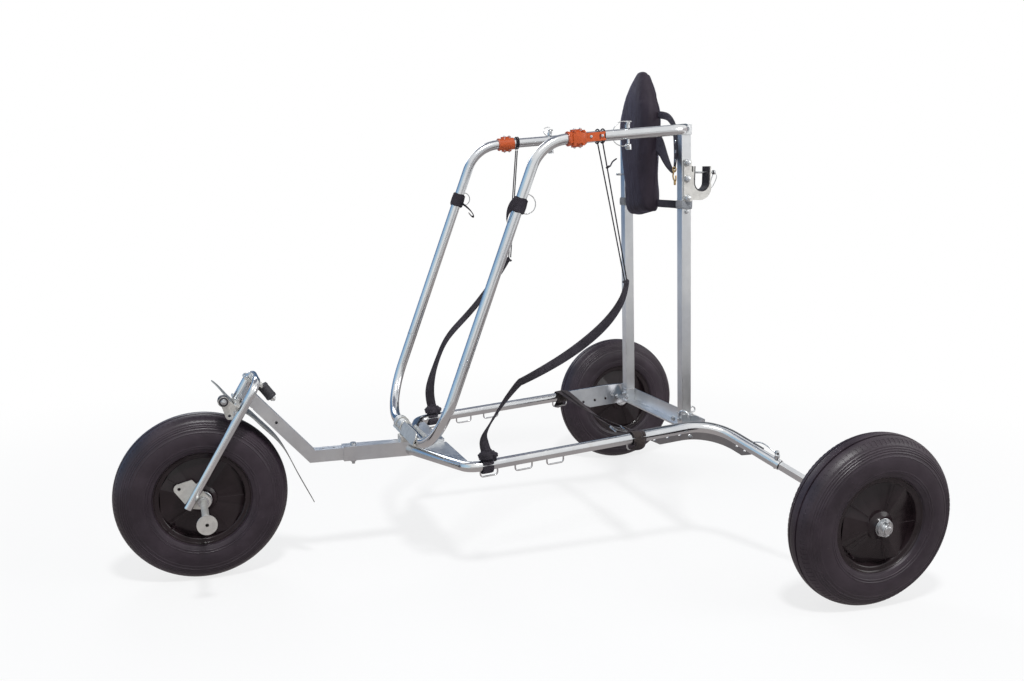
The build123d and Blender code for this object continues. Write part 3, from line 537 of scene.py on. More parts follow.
def buildRim(bm):
    s = rimShape
    lip, half = s["lip"], s["lipHalf"]
    wall = [(lip + 1, half - 5), (lip + 1.6, half - 1.5), (lip, half), (lip - 2, half - 0.3), (lip - 3.4, half - 2.4),
            (lip - 4.6, half - 3.4), (s["inner"] + 2.4, half - 4.2), (s["inner"] + 0.8, half - 5.4),
            (s["inner"], half - 8), (s["inner"] - 2, 5)]
    outline = wall + [(r, -h) for r, h in reversed(wall)]
    addTurned(bm, outline, (0, 0, 0), (0, 0, 1), s["steps"], closed=True)
    for face in (1, -1):
        fan = bmesh.new()
        bmesh.ops.create_circle(fan, cap_ends=True, cap_tris=True, segments=s["panels"], radius=s["inner"] + 3)
        for vert in fan.verts:
            reach = math.hypot(vert.co.x, vert.co.y)
            if reach < 1:
                vert.co.z = face * s["middle"]
                continue
            place = round(math.atan2(vert.co.y, vert.co.x) / math.tau * s["panels"])
            vert.co.z = face * (s["discHalf"] + (s["pleat"] if place % 2 else -s["pleat"]))
        ribs = [e for e in fan.edges if any(math.hypot(v.co.x, v.co.y) < 1 for v in e.verts)]
        bmesh.ops.bevel(fan, geom=ribs, offset=0.5, segments=2, profile=0.5, affect="EDGES", material=-1)
        fuse(bm, fan)
        for k in range(0, s["panels"], 2):
            a = math.tau * (k + 1) / s["panels"]
            out = Vector((math.cos(a), math.sin(a), 0))
            reach = s["discHalf"] + s["pleat"]
            low = out * (s["boss"] + 12) + Vector((0, 0, face * (s["middle"] + (reach - s["middle"]) * 0.34)))
            high = out * (s["inner"] - 4) + Vector((0, 0, face * (reach - 0.2)))
            addRod(bm, low, high, 0.7, 0.9, 8)
    boss = s["bossHalf"]
    side = [(s["boss"] + 14, s["middle"] - 12), (s["boss"] + 10, s["middle"] - 1), (s["boss"] + 5, s["middle"] + 2.5),
            (s["boss"] + 2, s["middle"] + 5), (s["boss"], boss - 3), (s["boss"] - 1.5, boss), (15.5, boss)]
    addTurned(bm, side + [(r, -h) for r, h in reversed(side)], (0, 0, 0), (0, 0, 1), 48, closed=True)
    addRod(bm, *s["valve"], *s["valveRadius"], 12, soften=0.5)


wheels = [("front", "", (692, 0, 200), 0.0, "front_wheel"),
          ("rear", "_left", (-692, 667, 199.582), -4.3, "rear_wheel_left"),
          ("rear", "_right", (-692, -667, 199.582), 4.3, "rear_wheel_right")]
for place, side, centre, tilt, body in wheels:
    seat = Matrix.Translation(centre) @ turnAbout("X", tilt) @ turnAbout("X", -90)
    bm = bmesh.new()
    fuse(bm, buildTyre(), seat)
    tyre = finishPiece(f"{place}Tyre{side}", bm, body, tyreRubber, 24)
    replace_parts(tyre, f"{place}_tyre{side}")
    bm = bmesh.new()
    buildRim(bm)
    bmesh.ops.transform(bm, matrix=seat, verts=bm.verts)
    rim = finishPiece(f"{place}Rim{side}", bm, body, rimPlastic, 30)
    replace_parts(rim, f"{place}_rim{side}")
    bm = bmesh.new()
    for end in (1, -1):
        for profile in hubShape.values():
            addTurned(bm, [(r, h * end) for r, h in profile], (0, 0, 0), (0, 0, 1), 40, closed=True)
    bmesh.ops.transform(bm, matrix=seat, verts=bm.verts)
    hub = finishPiece(f"{place}HubRings{side}", bm, body, boltSteel, 30)
    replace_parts(hub, f"{place}_hub{side}")
print("wheels made")


# Metal finishes on the frame's own parts

dress(zincTube, "side_tube_left", "side_tube_right", "hoop_tube", "top_tube_left", "top_tube_right", "fork_tube",
      "head_tube")
dress(zincPlate, "boom_front", "boom_sleeve", "upright_left", "upright_right", "top_crossbar", "cross_member",
      "front_gusset", "axle_left", "axle_right")
# the web plates' zinc carries painted shade
dress(zincDull, "web_plate_left", "web_plate_right")
dress(zincPale, "hinge_bracket", "dropout_left", "dropout_right", "foot_pegs", "fork_stop", "hanger_left",
      "hanger_right", "steerer")
dress(boltSteel, "boom_bolt", "top_pins", "front_axle", "hanger_pins", "axle_clips")
dress(orangeCoat, "hoop_clamps", "clamp_sleeve_left", "clamp_sleeve_right")
dress(guardSteel, "mudguard")
dress(blackRubber, "bumper", "hanger_linings")


# Back pad: drawn from rows up its height, remeshed, swelled as cloth, capped, then seamed

padShape = {"voxel": 0.006, "pressure": 4.0, "cap": 0.006, "frames": 20, "piping": 1.1, "square": 4.2,
            "segments": 64, "barX": -0.4655, "barZ": 1.0, "seamX": -453, "ripple": (9, 16, 9), "hem": 0.90,
            # height, back, front, half width
            "rows": [(846, -471, -437, 56), (853, -473, -431, 62), (870, -473, -428, 65), (900, -472, -426, 67),
                     (933, -470, -423, 70), (978, -467, -419, 76), (1022, -464, -417, 84), (1066, -463, -416, 90),
                     (1089, -463, -416, 90), (1111, -463, -417, 86), (1135, -463, -418, 76), (1154, -463, -420, 65),
                     (1176, -462, -424, 50), (1194, -460, -429, 35), (1206, -457, -433, 24), (1214, -454, -437, 14),
                     (1217, -449, -442, 6)]}


def padShell():
    s = padShape
    shell = bmesh.new()
    bmesh.ops.create_circle(shell, cap_ends=True, segments=s["segments"], radius=1)
    ring, turn = shell.edges[:], {v: math.atan2(v.co.y, v.co.x) for v in shell.verts}

    def seat(z, back, front, half):
        for vert in {v for e in ring for v in e.verts}:
            c, d = math.cos(turn[vert]), math.sin(turn[vert])
            power = 2 / s["square"]
            vert.co = ((back + front) / 2 + (front - back) / 2 * math.copysign(abs(c) ** power, c),
                       half * math.copysign(abs(d) ** power, d), z)

    seat(*s["rows"][0])
    for row in s["rows"][1:]:
        made = bmesh.ops.extrude_edge_only(shell, edges=ring)["geom"]
        ring = [g for g in made if isinstance(g, bmesh.types.BMEdge)]
        fresh = {v for e in ring for v in e.verts}
        for v in fresh:
            turn[v] = next(turn[e.other_vert(v)] for e in v.link_edges if e.other_vert(v) not in fresh)
        seat(*row)
    bmesh.ops.contextual_create(shell, geom=ring)
    bmesh.ops.recalc_face_normals(shell, faces=shell.faces)
    bmesh.ops.scale(shell, vec=(0.001, 0.001, 0.001), verts=shell.verts)
    return shell


def swollen(part, name):
    mesh = bpy.data.meshes.new(name)
    part.to_mesh(mesh)
    part.free()
    pad = bpy.data.objects.new(name, mesh)
    stage.collection.objects.link(pad)
    remesh = pad.modifiers.new("remesh", "REMESH")
    remesh.mode = "VOXEL"
    remesh.voxel_size = padShape["voxel"]
    depsgraph = bpy.context.evaluated_depsgraph_get()
    pad.data = bpy.data.meshes.new_from_object(pad.evaluated_get(depsgraph))
    pad.modifiers.clear()
    rest = [v.co.copy() for v in pad.data.vertices]
    cloth = pad.modifiers.new("cloth", "CLOTH")
    cloth.settings.use_pressure = True
    cloth.settings.uniform_pressure_force = padShape["pressure"]
    cloth.settings.effector_weights.gravity = 0
    cloth.settings.quality = 5
    for step in range(1, padShape["frames"] + 1):
        stage.frame_set(step)
    depsgraph = bpy.context.evaluated_depsgraph_get()
    pad.data = bpy.data.meshes.new_from_object(pad.evaluated_get(depsgraph))
    pad.modifiers.clear()
    stage.frame_set(1)
    for vert, start in zip(pad.data.vertices, rest):
        move = vert.co - start
        if move.length > padShape["cap"]:
            vert.co = start + move.normalized() * padShape["cap"]
    return pad


pad = swollen(padShell(), "backPad")
shape = bmesh.new()
shape.from_mesh(pad.data)
for vert in shape.verts:
    drop = max(0.0, (padShape["hem"] - vert.co.z) / 0.06)
    ripple = noise.noise(Vector([c * scale for c, scale in zip(vert.co, padShape["ripple"])]))
    vert.co.x += 0.003 * ripple
    vert.co.z += 0.006 * drop * math.sin(vert.co.y * 34) + 0.002 * ripple
    if vert.co.z > padShape["barZ"]:
        vert.co.x = max(vert.co.x, padShape["barX"])     # flat where it rests on the crossbar
bmesh.ops.smooth_vert(shape, verts=shape.verts, factor=0.5, use_axis_x=True, use_axis_y=True, use_axis_z=True)
outline = shape.copy()
shape.to_mesh(pad.data)
shape.free()
pad.data.materials.append(padCover)
pad.data.shade_smooth()
soften = pad.modifiers.new("smooth", "SUBSURF")
soften.levels = soften.render_levels = 1
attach(pad, "frame")
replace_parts(pad, "back_pad")
bm = bmesh.new()                                 # a seam near the back edge
bmesh.ops.scale(outline, vec=(1000, 1000, 1000), verts=outline.verts)
cut = bmesh.ops.bisect_plane(outline, geom=outline.verts[:] + outline.edges[:] + outline.faces[:],
                             plane_co=(padShape["seamX"], 0, 0), plane_no=(1, 0, 0), clear_inner=True, clear_outer=True)
edges = [g for g in cut["geom_cut"] if isinstance(g, bmesh.types.BMEdge)]
loop, seen = [edges[0].verts[0]], set()
while True:
    step = next((e for e in loop[-1].link_edges if e in edges and e not in seen), None)
    if step is None:
        break
    seen.add(step)
    loop.append(step.other_vert(loop[-1]))
addWire(bm, [v.co.copy() for v in loop[:-1:3]], padShape["piping"], closed=True, perSpan=3, sides=2)
outline.free()
finishPiece("padPiping", bm, "frame", padCover, 60)
print("pad made")

# Webbing: seat straps with their cuffs and cords, the crossed belt behind, the pad's own straps

seatStraps = {
    "left": {"side": 1,
             "route": [(58, 300), (62, 312), (68, 330), (69, 350), (60, 368), (38, 402), (16, 433), (-12, 465),
                       (-21, 473), (-21, 473), (-34, 478), (-70, 494), (-121, 519), (-172, 549), (-222, 586),
                       (-256, 620), (-280, 656), (-289, 688), (-292, 706)],
             "widths": [26, 27, 25, 17, 12, 14, 18, 20, 20, 20, 20, 22, 25, 28, 30, 31, 30, 26, 16],
             "twist": [0, 0, 6, 26, 44, 36, 24, 14, 8, 4, 0, 0, 4, 8, 12, 18, 24, 28, 20]},
    "right": {"side": -1,
              "route": [(58, 300), (64, 320), (68, 350), (66, 375), (58, 408), (44, 448), (26, 490), (2, 522),
                        (-30, 553), (-66, 590), (-100, 632), (-128, 668), (-152, 702), (-166, 724)],
              "widths": [27, 28, 27, 23, 17, 15, 16, 18, 18, 18, 17, 16, 17, 15],
              "twist": [0, 0, 8, 18, 34, 46, 42, 34, 28, 24, 20, 18, 16, 20]},
}
cords = {"radius": 1.7, "loop": 16.5, "bight": 6,      # top and low end of each line, in the plane of its side
         "left": [((-208.7, 1029), (-284, 706)), ((-221.9, 1029), (-290, 706))],
         "right": [((-185, 1018), (-164, 722)), ((-189.5, 1018), (-170, 726))],
         "tie": [(-236, 250, 968), (-262, 205, 969), (-318, 90, 976), (-372, -20, 985), (-412, -84, 992)],
         "tieKnots": [(-236, 250, 968), (-243, 238, 968)], "tieRadius": 2.0}
cuffPlan = {"x": 61, "width": 29,                # from the tube's middle, in Y and Z
            "route": [(15.6, -4), (14, 10), (3, 17), (-9, 14), (-15.6, 0), (-13, -12), (-5, -18), (4, -19), (12, -14)],
            # knot lumps: place from the tube's middle, half size, lean in degrees, seed of the folds
            "lumps": [((0, 1, 23), (21, 16, 12), -6, 0.0), ((12, 3, 24), (10, 12, 9), 30, 5.1),
                      ((-14, 4, 26), (12, 12, 8), -24, 9.7), ((-1, -4, 33), (12, 11, 8), 8, 3.3)]}


def valueAlong(values, share):
    place = share * (len(values) - 1)
    low = min(int(place), len(values) - 2)
    return values[low] * (1 - place + low) + values[low + 1] * (place - low)


def strapRibbon(name, plan):
    side = plan["side"]
    spine = smoothLine([(x, side * line["halfWidth"], z) for x, z in plan["route"]], 3)
    last = len(spine) - 1
    across, widths = [], []
    for k, point in enumerate(spine):
        run = spine[min(k + 1, last)] - spine[max(k - 1, 0)]
        flat = Vector((-run.z, 0, run.x)).normalized()
        angle = valueAlong(plan["twist"], k / last)
        widths.append(valueAlong(plan["widths"], k / last))
        across.append(Matrix.Rotation(math.radians(angle * side), 3, run.normalized()) @ flat)
    return ribbon(name, spine, across, widths, 2.0, "frame", strapWeave)


def bandRound(name, route, across, width, material, body="frame", thickness=2.2, perSpan=4, closed=False):
    # a webbing band along any line, its width turned along one direction or several
    spine = smoothLine(route, perSpan, closed)
    if closed:
        spine.append(spine[0].copy())
    last = len(spine) - 1
    directions = [Vector(a) for a in (across if isinstance(across[0], (tuple, list)) else [across, across])]
    turned = []
    for k in range(last + 1):
        place = k / last * (len(directions) - 1)
        low = min(int(place), len(directions) - 2)
        turned.append(directions[low].lerp(directions[low + 1], place - low))
    widths = [valueAlong(width, k / last) if isinstance(width, list) else width for k in range(last + 1)]
    return ribbon(name, spine, turned, widths, thickness, body, material)


def knotLump(size, seed):
    lump = bmesh.new()
    bmesh.ops.create_icosphere(lump, subdivisions=4, radius=1)
    for vert in lump.verts:
        fold = 0.26 * noise.noise(vert.co * 1.9 + Vector((seed, 0, 0)))
        fold += 0.12 * noise.noise(vert.co * 5 + Vector((0, seed, 0)))
        vert.co = Vector([c * half for c, half in zip(vert.co, size)]) * (1 + fold)
    return lump


for side, plan in seatStraps.items():
    strap = strapRibbon("seatStrap_" + side, plan)
    y = plan["side"] * line["halfWidth"]
    tube = Vector((cuffPlan["x"], y, frameZ(cuffPlan["x"])))
    cuffRoute = [tube + Vector((0, dy, dz)) for dy, dz in cuffPlan["route"]]
    cuff = bandRound("strapCuff_" + side, cuffRoute, (1, 0, -line["rise"]), cuffPlan["width"], strapWeave, closed=True)
    bm = bmesh.new()
    for place, size, degrees, seed in cuffPlan["lumps"]:
        fuse(bm, knotLump(size, seed), Matrix.Translation(tube + Vector(place)) @ turnAbout("Y", degrees))
    knot = finishPiece("strapKnot_" + side, bm, "frame", knotWeave, 80)
    for piece in (strap, cuff, knot):
        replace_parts(piece, "seat_strap_" + side)
    bm = bmesh.new()
    for top, low in cords[side]:
        middle = ((top[0] + low[0]) / 2, y, (top[1] + low[1]) / 2)
        addWire(bm, [(top[0], y, top[1] - 2), middle, (low[0], y, low[1] - 4)], cords["radius"], sides=2, perSpan=4)
        addWire(bm, ringPoints((top[0], y, topZ(top[0])), cords["loop"], (1, 0, 0)), cords["radius"], closed=True,
                sides=2)
    x, z = cords[side][0][1]
    addWire(bm, ringPoints((x - 2, y, z - 8), cords["bight"], (0, 0.3, 1), 10), cords["radius"], closed=True, sides=2)
    cord = finishPiece("seatCords_" + side, bm, "frame", cordWeave, 60)
    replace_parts(cord, "seat_cords_" + side)

bm = bmesh.new()                                 # thin cord from the near cord to the pad's far edge
addWire(bm, cords["tie"], cords["tieRadius"], sides=2, perSpan=8)
for spot in cords["tieKnots"]:
    addWire(bm, ringPoints(spot, 3.4, (0.5, -0.4, 1), 8), cords["tieRadius"], closed=True, sides=2)
finishPiece("padTieCord", bm, "frame", cordWeave, 60)

belt = {"x": -326, "width": 26, "wrapWidth": 28, "buckle": (-326, 141, 307),
        # height is counted from the side tubes' middle
        "beltLong": [(-318, -250, 15.8), (-322, -200, 10), (-335, -70, -8), (-352, 40, -12), (-352, 160, -4),
                     (-328, 235, 12), (-326, 250, 15.8)],
        "beltShort": [(-334, -250, 18.4), (-340, -190, 8), (-342, -60, -10), (-332, 50, -12), (-326, 130, -4),
                      (-326, 205, 6), (-326, 250, 18.4)],
        "slope": [(1, 0.0, 0.10), (1, 0.05, 0.42), (1, 0.05, 0.55), (1, 0.0, 0.35), (1, 0.0, 0.05)],
        "tail": [(-2, 16, 2), (-6, 18, -14), (8, 8, -30), (20, -4, -30)], "tailWidths": [26, 26, 24, 20]}
zBelt = frameZ(belt["x"])
for name in ("beltLong", "beltShort"):
    route = [(x, y, zBelt + z) for x, y, z in belt[name]]
    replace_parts(bandRound(name, route, belt["slope"], belt["width"], beltWeave, perSpan=5), "cross_straps")
tubeAlong = (1, 0, -line["rise"])
for side in (1, -1):
    y = side * line["halfWidth"]
    for shift, grow in ((-5, 0.0), (4, 2.2)):
        ring = ringPoints((belt["x"] + shift, y, frameZ(belt["x"] + shift)), 14.9 + grow, tubeAlong, 14)
        wrap = bandRound(f"beltWrap_{side + 1}_{shift + 5}", ring, tubeAlong, belt["wrapWidth"], beltWeave, closed=True)
        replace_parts(wrap, "cross_straps")
    route = [(belt["x"] + dx, y + side * dy, zBelt + dz) for dx, dy, dz in belt["tail"]]
    tail = bandRound(f"beltTail_{side + 1}", route, (1, 0, 0.3), belt["tailWidths"], beltWeave)
    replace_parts(tail, "cross_straps")
bm = bmesh.new()
spot = Vector(belt["buckle"])
tip = turnAbout("X", -6) @ turnAbout("Y", -14)
for y in (-17, 0, 17):
    addBox(bm, spot + Vector((0, y, 3)), (33, 4.5, 3), tip, 1.0)
for x in (-15, 15):
    addBox(bm, spot + Vector((x, 0, 3)), (4, 38, 3.4), tip, 1.0)
finishPiece("beltBuckle", bm, "frame", boltSteel, 40)
print("webbing made")

# Pad straps: holed strap with a brass hook at the left of the pad, loops low down to both uprights

padStrap = {"z": 877, "width": 21, "loopHalf": 15, "x": -445,
            "lower": [(-462, 30, 2), (-467, 70, 0), (-472, 110, 0), (-478, 150, -1), (-481, 166, -1)],
            "outer": [(-449, 74, 1100), (-447, 128, 1096), (-445, 158, 1084), (-445, 178, 1066), (-445, 185, 1040),
                      (-445, 188, 1008), (-445, 187, 982), (-445, 183, 962)],
            "outerTurn": [(0, 0.1, 1), (0, 0.3, 1), (0, 0.9, 0.7), (0, 1, 0.3), (0, 1, 0), (0, 1, 0), (0, 1, 0.1)],
            "outerWidths": [20, 20, 22, 24, 24, 20, 13],
            "inner": [(-447, 78, 1034), (-445, 108, 1022), (-445, 126, 1000), (-445, 146, 978), (-445, 166, 962),
                      (-445, 179, 955)],
            "innerTurn": [(0, 0.2, 1), (0, 0.5, 0.8), (0, 0.8, 0.6), (0, 1, 0.5)], "innerWidths": [60, 46, 34, 24, 14],
            "eyelets": [(184, 1030), (186.5, 1006), (187, 984)],
            "hook": [(182, 961), (176, 952), (178, 941), (187, 934), (193, 938), (191, 948)]}
for side, name in ((1, "left"), (-1, "right")):
    z, half = padStrap["z"], padStrap["loopHalf"]
    lower = [(x, side * y, z + dz) for x, y, dz in padStrap["lower"]]
    strap = bandRound("padStrap_" + name, lower, (0, 0, 1), padStrap["width"], strapWeave)
    x, y = uprightX(z), side * line["uprightY"]
    corners = [(x + half, y - half, z), (x + half, y + half, z), (x - half, y + half, z), (x - half, y - half, z)]
    doubled = [p for corner in corners for p in (corner, corner)]
    loop = bandRound("padLoop_" + name, doubled, (0, 0, 1), padStrap["width"] + 2, loopWeave, closed=True, perSpan=2)
    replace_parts(strap, "pad_straps")
    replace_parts(loop, "pad_straps")
bandRound("hookStrapOuter", padStrap["outer"], padStrap["outerTurn"], padStrap["outerWidths"], strapWeave)
bandRound("hookStrapInner", padStrap["inner"], padStrap["innerTurn"], padStrap["innerWidths"], strapWeave)
bm = bmesh.new()
x = padStrap["x"]
for y, z in padStrap["eyelets"]:
    ring = [(2.6, -1.6), (2.6, 1.6), (4.2, 1.6), (5, 0.4), (5, -0.4), (4.2, -1.6)]
    addTurned(bm, ring, (x, y, z), (1, 0, 0), 20, True)
finishPiece("strapEyelets", bm, "frame", boltSteel, 40)
bm = bmesh.new()
addWire(bm, [(x, y, z) for y, z in padStrap["hook"]], 2.0, perSpan=8)
addWire(bm, ringPoints((x, 183, 963), 6, (1, 0.2, 0), 10), 1.9, closed=True)
addRod(bm, (x, 187, 935), (x, 187, 925), 3.2, 2.6, 14, soften=0.6)
finishPiece("strapHook", bm, "frame", brassClip, 60)
print("pad straps made")

# Hoop wraps: felt band round each leg, a wire ring behind it and a loose end

hoopWrap = {"at": 601, "layers": ((15.2, -17, 17), (16.6, -15, 16)), "ringAt": 604, "ringBack": -16,
            "ringSize": {"left": 23, "right": 17},
            "flap": {"left": ([(8, 15, 10), (18, 13, 4), (27, 8, -8), (31, 4, -24), (30, 2, -36)],
                              (0.3, 0.2, 1), [30, 26, 20, 16, 12]),
                     "right": ([(-4, 16, -6), (-16, 17, -14), (-30, 16, -26), (-40, 14, -38), (-41, 13, -46),
                                (-35, 12, -44), (-27, 13, -34)], (0.6, 0.6, 0.8), [18, 16, 13, 11, 9, 9, 9])}}
for side, name in ((1, "left"), (-1, "right")):
    middle = onLeg(hoopWrap["at"], side)
    bm = bmesh.new()
    for grow, low, high in hoopWrap["layers"]:
        profile = [(grow - 2, low), (grow, low), (grow + 0.6, (low + high) / 2), (grow, high), (grow - 2, high)]
        part = spun(profile, 40, True)
        for vert in part.verts:
            push = noise.noise(Vector((vert.co.x * 0.11, vert.co.y * 0.11, vert.co.z * 0.09 + grow)))
            out = Vector((vert.co.x, vert.co.y, 0)).normalized()
            if math.hypot(vert.co.x, vert.co.y) > grow - 1:
                vert.co += out * 1.6 * push
            vert.co.z += 2.0 * noise.noise(Vector((vert.co.x * 0.07, vert.co.y * 0.07, grow)))
        fuse(bm, part, Matrix.Translation(middle) @ turnTo(lean))
    wrap = finishPiece("hoopWrap_" + name, bm, "hoop", wrapFelt, 60)
    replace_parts(wrap, "hoop_wraps")
    route, across, widths = hoopWrap["flap"][name]
    bandRound("wrapFlap_" + name, [middle + Vector(p) for p in route], across, widths, wrapFelt, "hoop", thickness=3)
    bm = bmesh.new()
    centre = onLeg(hoopWrap["ringAt"], side) + Vector((hoopWrap["ringBack"], 0, 0))
    addWire(bm, ringPoints(centre, hoopWrap["ringSize"][name], (0.08, 1, 0.05), 16), 1.15, closed=True)
    finishPiece("wrapRing_" + name, bm, "hoop", wireSteel, 60)

# Joint line and button low on each hoop leg

bm = bmesh.new()
for side in (1, -1):
    low = onLeg(216, side)
    button = low + lean * 12
    addTurned(bm, [(12.3, -1.5), (12.95, -1.2), (13.0, 1.2), (12.3, 1.5)], low, lean, 36, True)
    addRod(bm, button + Vector((0, side * 11.8, 0)), button + Vector((0, side * 14.2, 0)), 3, 2.2, 14)
finishPiece("hoopJointRings", bm, "hoop", boltSteel, 40)
print("hoop dressed")

# Quick pins on the top tubes, their wire rings, and the bolts of the orange clamps

quickPin = {"x": -287, "knob": -29, "bar": 28, "barHalf": 7, "sweep": 118,
            # radius of the wire ring and where its middle lies from the tube's
            "ring": {1: (28.5, (15, 6, 0)), -1: (12, (6, -6, 24))}}
bm = bmesh.new()
for side in (1, -1):
    x, y = quickPin["x"], side * line["halfWidth"]
    low, high = topZ(x) + quickPin["knob"], topZ(x) + quickPin["bar"]
    addTurned(bm, [(0, 7), (5, 6.5), (7.2, 3.5), (7.2, -3.5), (5, -6.5), (0, -7)], (x, y, low), (0, 0, 1), 28)
    addRod(bm, (x - quickPin["barHalf"], y, high), (x + quickPin["barHalf"], y, high), 2.2, segments=14, soften=0.6)
    addTurned(bm, [(3.2, -4), (4.2, -3), (4.2, 3), (3.2, 4)], (x, y, high - 5), (0, 0, 1), 20, True)
    size, place = quickPin["ring"][side]
    centre = Vector((x, y, topZ(x))) + Vector(place)
    sweep = quickPin["sweep"]
    points = [centre + Vector((size * math.cos(a), side * 3 * math.sin(2 * a), size * math.sin(a)))
              for a in (math.radians(-sweep + 2 * sweep * k / 13) for k in range(14))]
    addWire(bm, points, 1.1, perSpan=8)
finishPiece("quickPins", bm, "frame", wireSteel, 50)

clamp = {"boltX": (-152, -166), "boltOut": 16.2, "flangeX": (-133.4, -137.4), "plateX": -157, "lugX": (-11, 11),
         "lugUp": 14.5, "sleeveBoltX": (-186, -214), "sleeveBoltY": 266.6}
bm = bmesh.new()
for side in (1, -1):
    for x in clamp["boltX"]:
        for up in (1, -1):
            spot = Vector((x, side * line["halfWidth"], topZ(x) + up * clamp["boltOut"]))
            addBolt(bm, spot, (line["rise"] * up, 0, up), 7.5, 3.4, 0.62, 1.8)
finishPiece("hoopClampBolts", bm, "hoop", boltSteel, 40)
bm = bmesh.new()
for side in (1, -1):
    y = side * line["halfWidth"]
    a, b = (Vector((x, y, topZ(x))) for x in clamp["flangeX"])
    addTurned(bm, [(12.7, 0), (16.4, 0), (17.0, 0.9), (17.0, 3.4), (16.4, 4.3), (12.7, 4.3)], a, b - a, 40, True)
    if side > 0:                                 # the near clamp has a plate with lugs
        x = clamp["plateX"]
        addBox(bm, (x, y + 17.5, topZ(x)), (30, 3, 25), turnAbout("Y", 5), 1.2)
        for dx in clamp["lugX"]:
            for up in (1, -1):
                addBox(bm, (x + dx, y + 14, topZ(x + dx) + up * clamp["lugUp"]), (5, 12, 6), turnAbout("Y", 5), 1.0)
finishPiece("clampFlanges", bm, "hoop", orangeCoat, 40)
bm = bmesh.new()
for x in clamp["sleeveBoltX"]:
    for side in (1, -1):
        addBolt(bm, (x, side * clamp["sleeveBoltY"], topZ(x) + 1), (0, side, 0), 6, 1.8)
finishPiece("sleeveBolts", bm, "frame", boltSteel, 40)
print("clamps dressed")

# Hangers: bolt heads, wire clip through each cross pin

hanger = {"boltZ": (979, 940, 893), "boltY": 182.2, "nutY": 152.4, "clipY": 164.5, "clipHead": (-563, 956),
          "clip": [(-565, 0, 956), (-572, 2, 952), (-573, 3, 944), (-563, 2, 922), (-557, 0, 916), (-556, -2, 924),
                   (-562, -2, 946), (-565, 0, 956)],
          "strayBolt": {1: 860, -1: 951}, "strayY": 177.6, "stub": (-459, 951)}
bm = bmesh.new()
for side in (1, -1):
    for z in hanger["boltZ"]:
        addBolt(bm, (uprightX(z), side * hanger["boltY"], z), (0, side, 0), 12, 5.4, 0.72, 2.0)
        addHex(bm, (uprightX(z), side * hanger["nutY"], z), (0, -side, 0), 12, 5)
    y = side * hanger["clipY"]
    addWire(bm, [(x, y + dy, z) for x, dy, z in hanger["clip"]], 1.1, perSpan=8)
    x, z = hanger["clipHead"]
    addTurned(bm, [(0, 5), (4, 4.6), (5.6, 3), (5.6, 0), (0, 0)], (x, y, z), (-1, 0, 0), 24)
    z = hanger["strayBolt"][side]
    addBolt(bm, (uprightX(z), side * hanger["strayY"], z), (0, side, 0), 8, 3, 0.7)
x, z = hanger["stub"]
addRod(bm, (x - 8, -line["uprightY"], z), (x + 8, -line["uprightY"], z), 3.2, segments=16, soften=0.8)
finishPiece("hangerHardware", bm, "frame", boltSteel, 40)

# Frame corners: bolts through the web plates and cross member, eye behind the left upright

corner = {"eye": (-524, 165, 352), "eyeRadius": 7,
          "handle": [(-470, 196, 344), (-470, 196, 356), (-476, 205, 360), (-484, 216, 356), (-484, 216, 344)]}
bm = bmesh.new()
for side in (1, -1):
    addBolt(bm, (-462, side * 266.8, 309), (0, side, 0), 9, 4, 0.72, 1.6)
    for x in (-492, -478):
        addHex(bm, (x, side * 226, frameZ(-490) - 18), (0, 0, 1), 9, 4)
    addBolt(bm, (-503, side * 196, 343.5), (0, 0, 1), 9, 4, 0.7, 2)
    addBolt(bm, (-484.2, side * 140, 325), (1, 0, 0), 10, 4.5, 0.72, 2)
    addBolt(bm, (uprightX(330) + 12.6, side * line["uprightY"], 330), (1, 0, 0), 9, 4, 0.72, 2)
eye = Vector(corner["eye"])
addWire(bm, ringPoints(eye, corner["eyeRadius"], (0, 1, 0.2)), 1.8, closed=True)
addRod(bm, eye + Vector((11, 0, 0)), eye + Vector((6, 0, 0)), 2.4, segments=14)
addWire(bm, corner["handle"], 2.6)
finishPiece("cornerBolts", bm, "frame", boltSteel, 40)
print("frame bolts made")

# Axle pins: wire arcs of the lynch pins at the leg ends and at the rear hubs

axle = {"legPin": (-609, 425, 296),
        "legWire": [(0, 0, -4), (14, -26, 16), (22, -62, 14), (20, -92, -2), (17, -100, -14)],
        "wheel": (-692, 667, 199.582), "tilt": 4.3, "pinOut": 59,
        # lynch pin wire: along X, up and out from the pin's middle
        "hubWire": [(0, 12, 0), (0, 15, 3), (13, 6, 5), (15, -6, 5), (5, -16, 3), (0, -15, 0), (-6, -14, 0)]}
bm = bmesh.new()
for side in (1, -1):
    x, y, z = axle["legPin"]
    pinHead = Vector((x, side * y, z))
    addWire(bm, [pinHead + Vector((dx, side * dy, dz)) for dx, dy, dz in axle["legWire"]], 1.5, perSpan=10)
    addTurned(bm, [(0, 4), (4.5, 3.6), (5.6, 2), (5.6, -3), (0, -3)], pinHead, (0.1, 0, 1), 24)
    tilt = math.radians(axle["tilt"])
    out = Vector((0, side * math.cos(tilt), -math.sin(tilt)))
    up = Vector((0, side * math.sin(tilt), math.cos(tilt)))
    x, y, z = axle["wheel"]
    centre = Vector((x, side * y, z))
    addTurned(bm, [(10.2, 0), (18, 0), (19, 0.8), (19, 1.8), (18.2, 2.4), (14.5, 2.4), (14.2, 1.2), (10.2, 1.2)],
              centre + out * 52.2, out, 40, True)
    addTurned(bm, [(0, 12), (6.5, 12), (8.6, 10.9), (9.8, 8.8), (9.8, 0)], centre + out * 53, out, 36)
    pin = centre + out * axle["pinOut"]
    addWire(bm, [pin + Vector((dx, 0, 0)) + up * rise + out * reach for dx, rise, reach in axle["hubWire"]], 1.3,
            perSpan=8)
finishPiece("axlePins", bm, "frame", boltSteel, 40)
bm = bmesh.new()
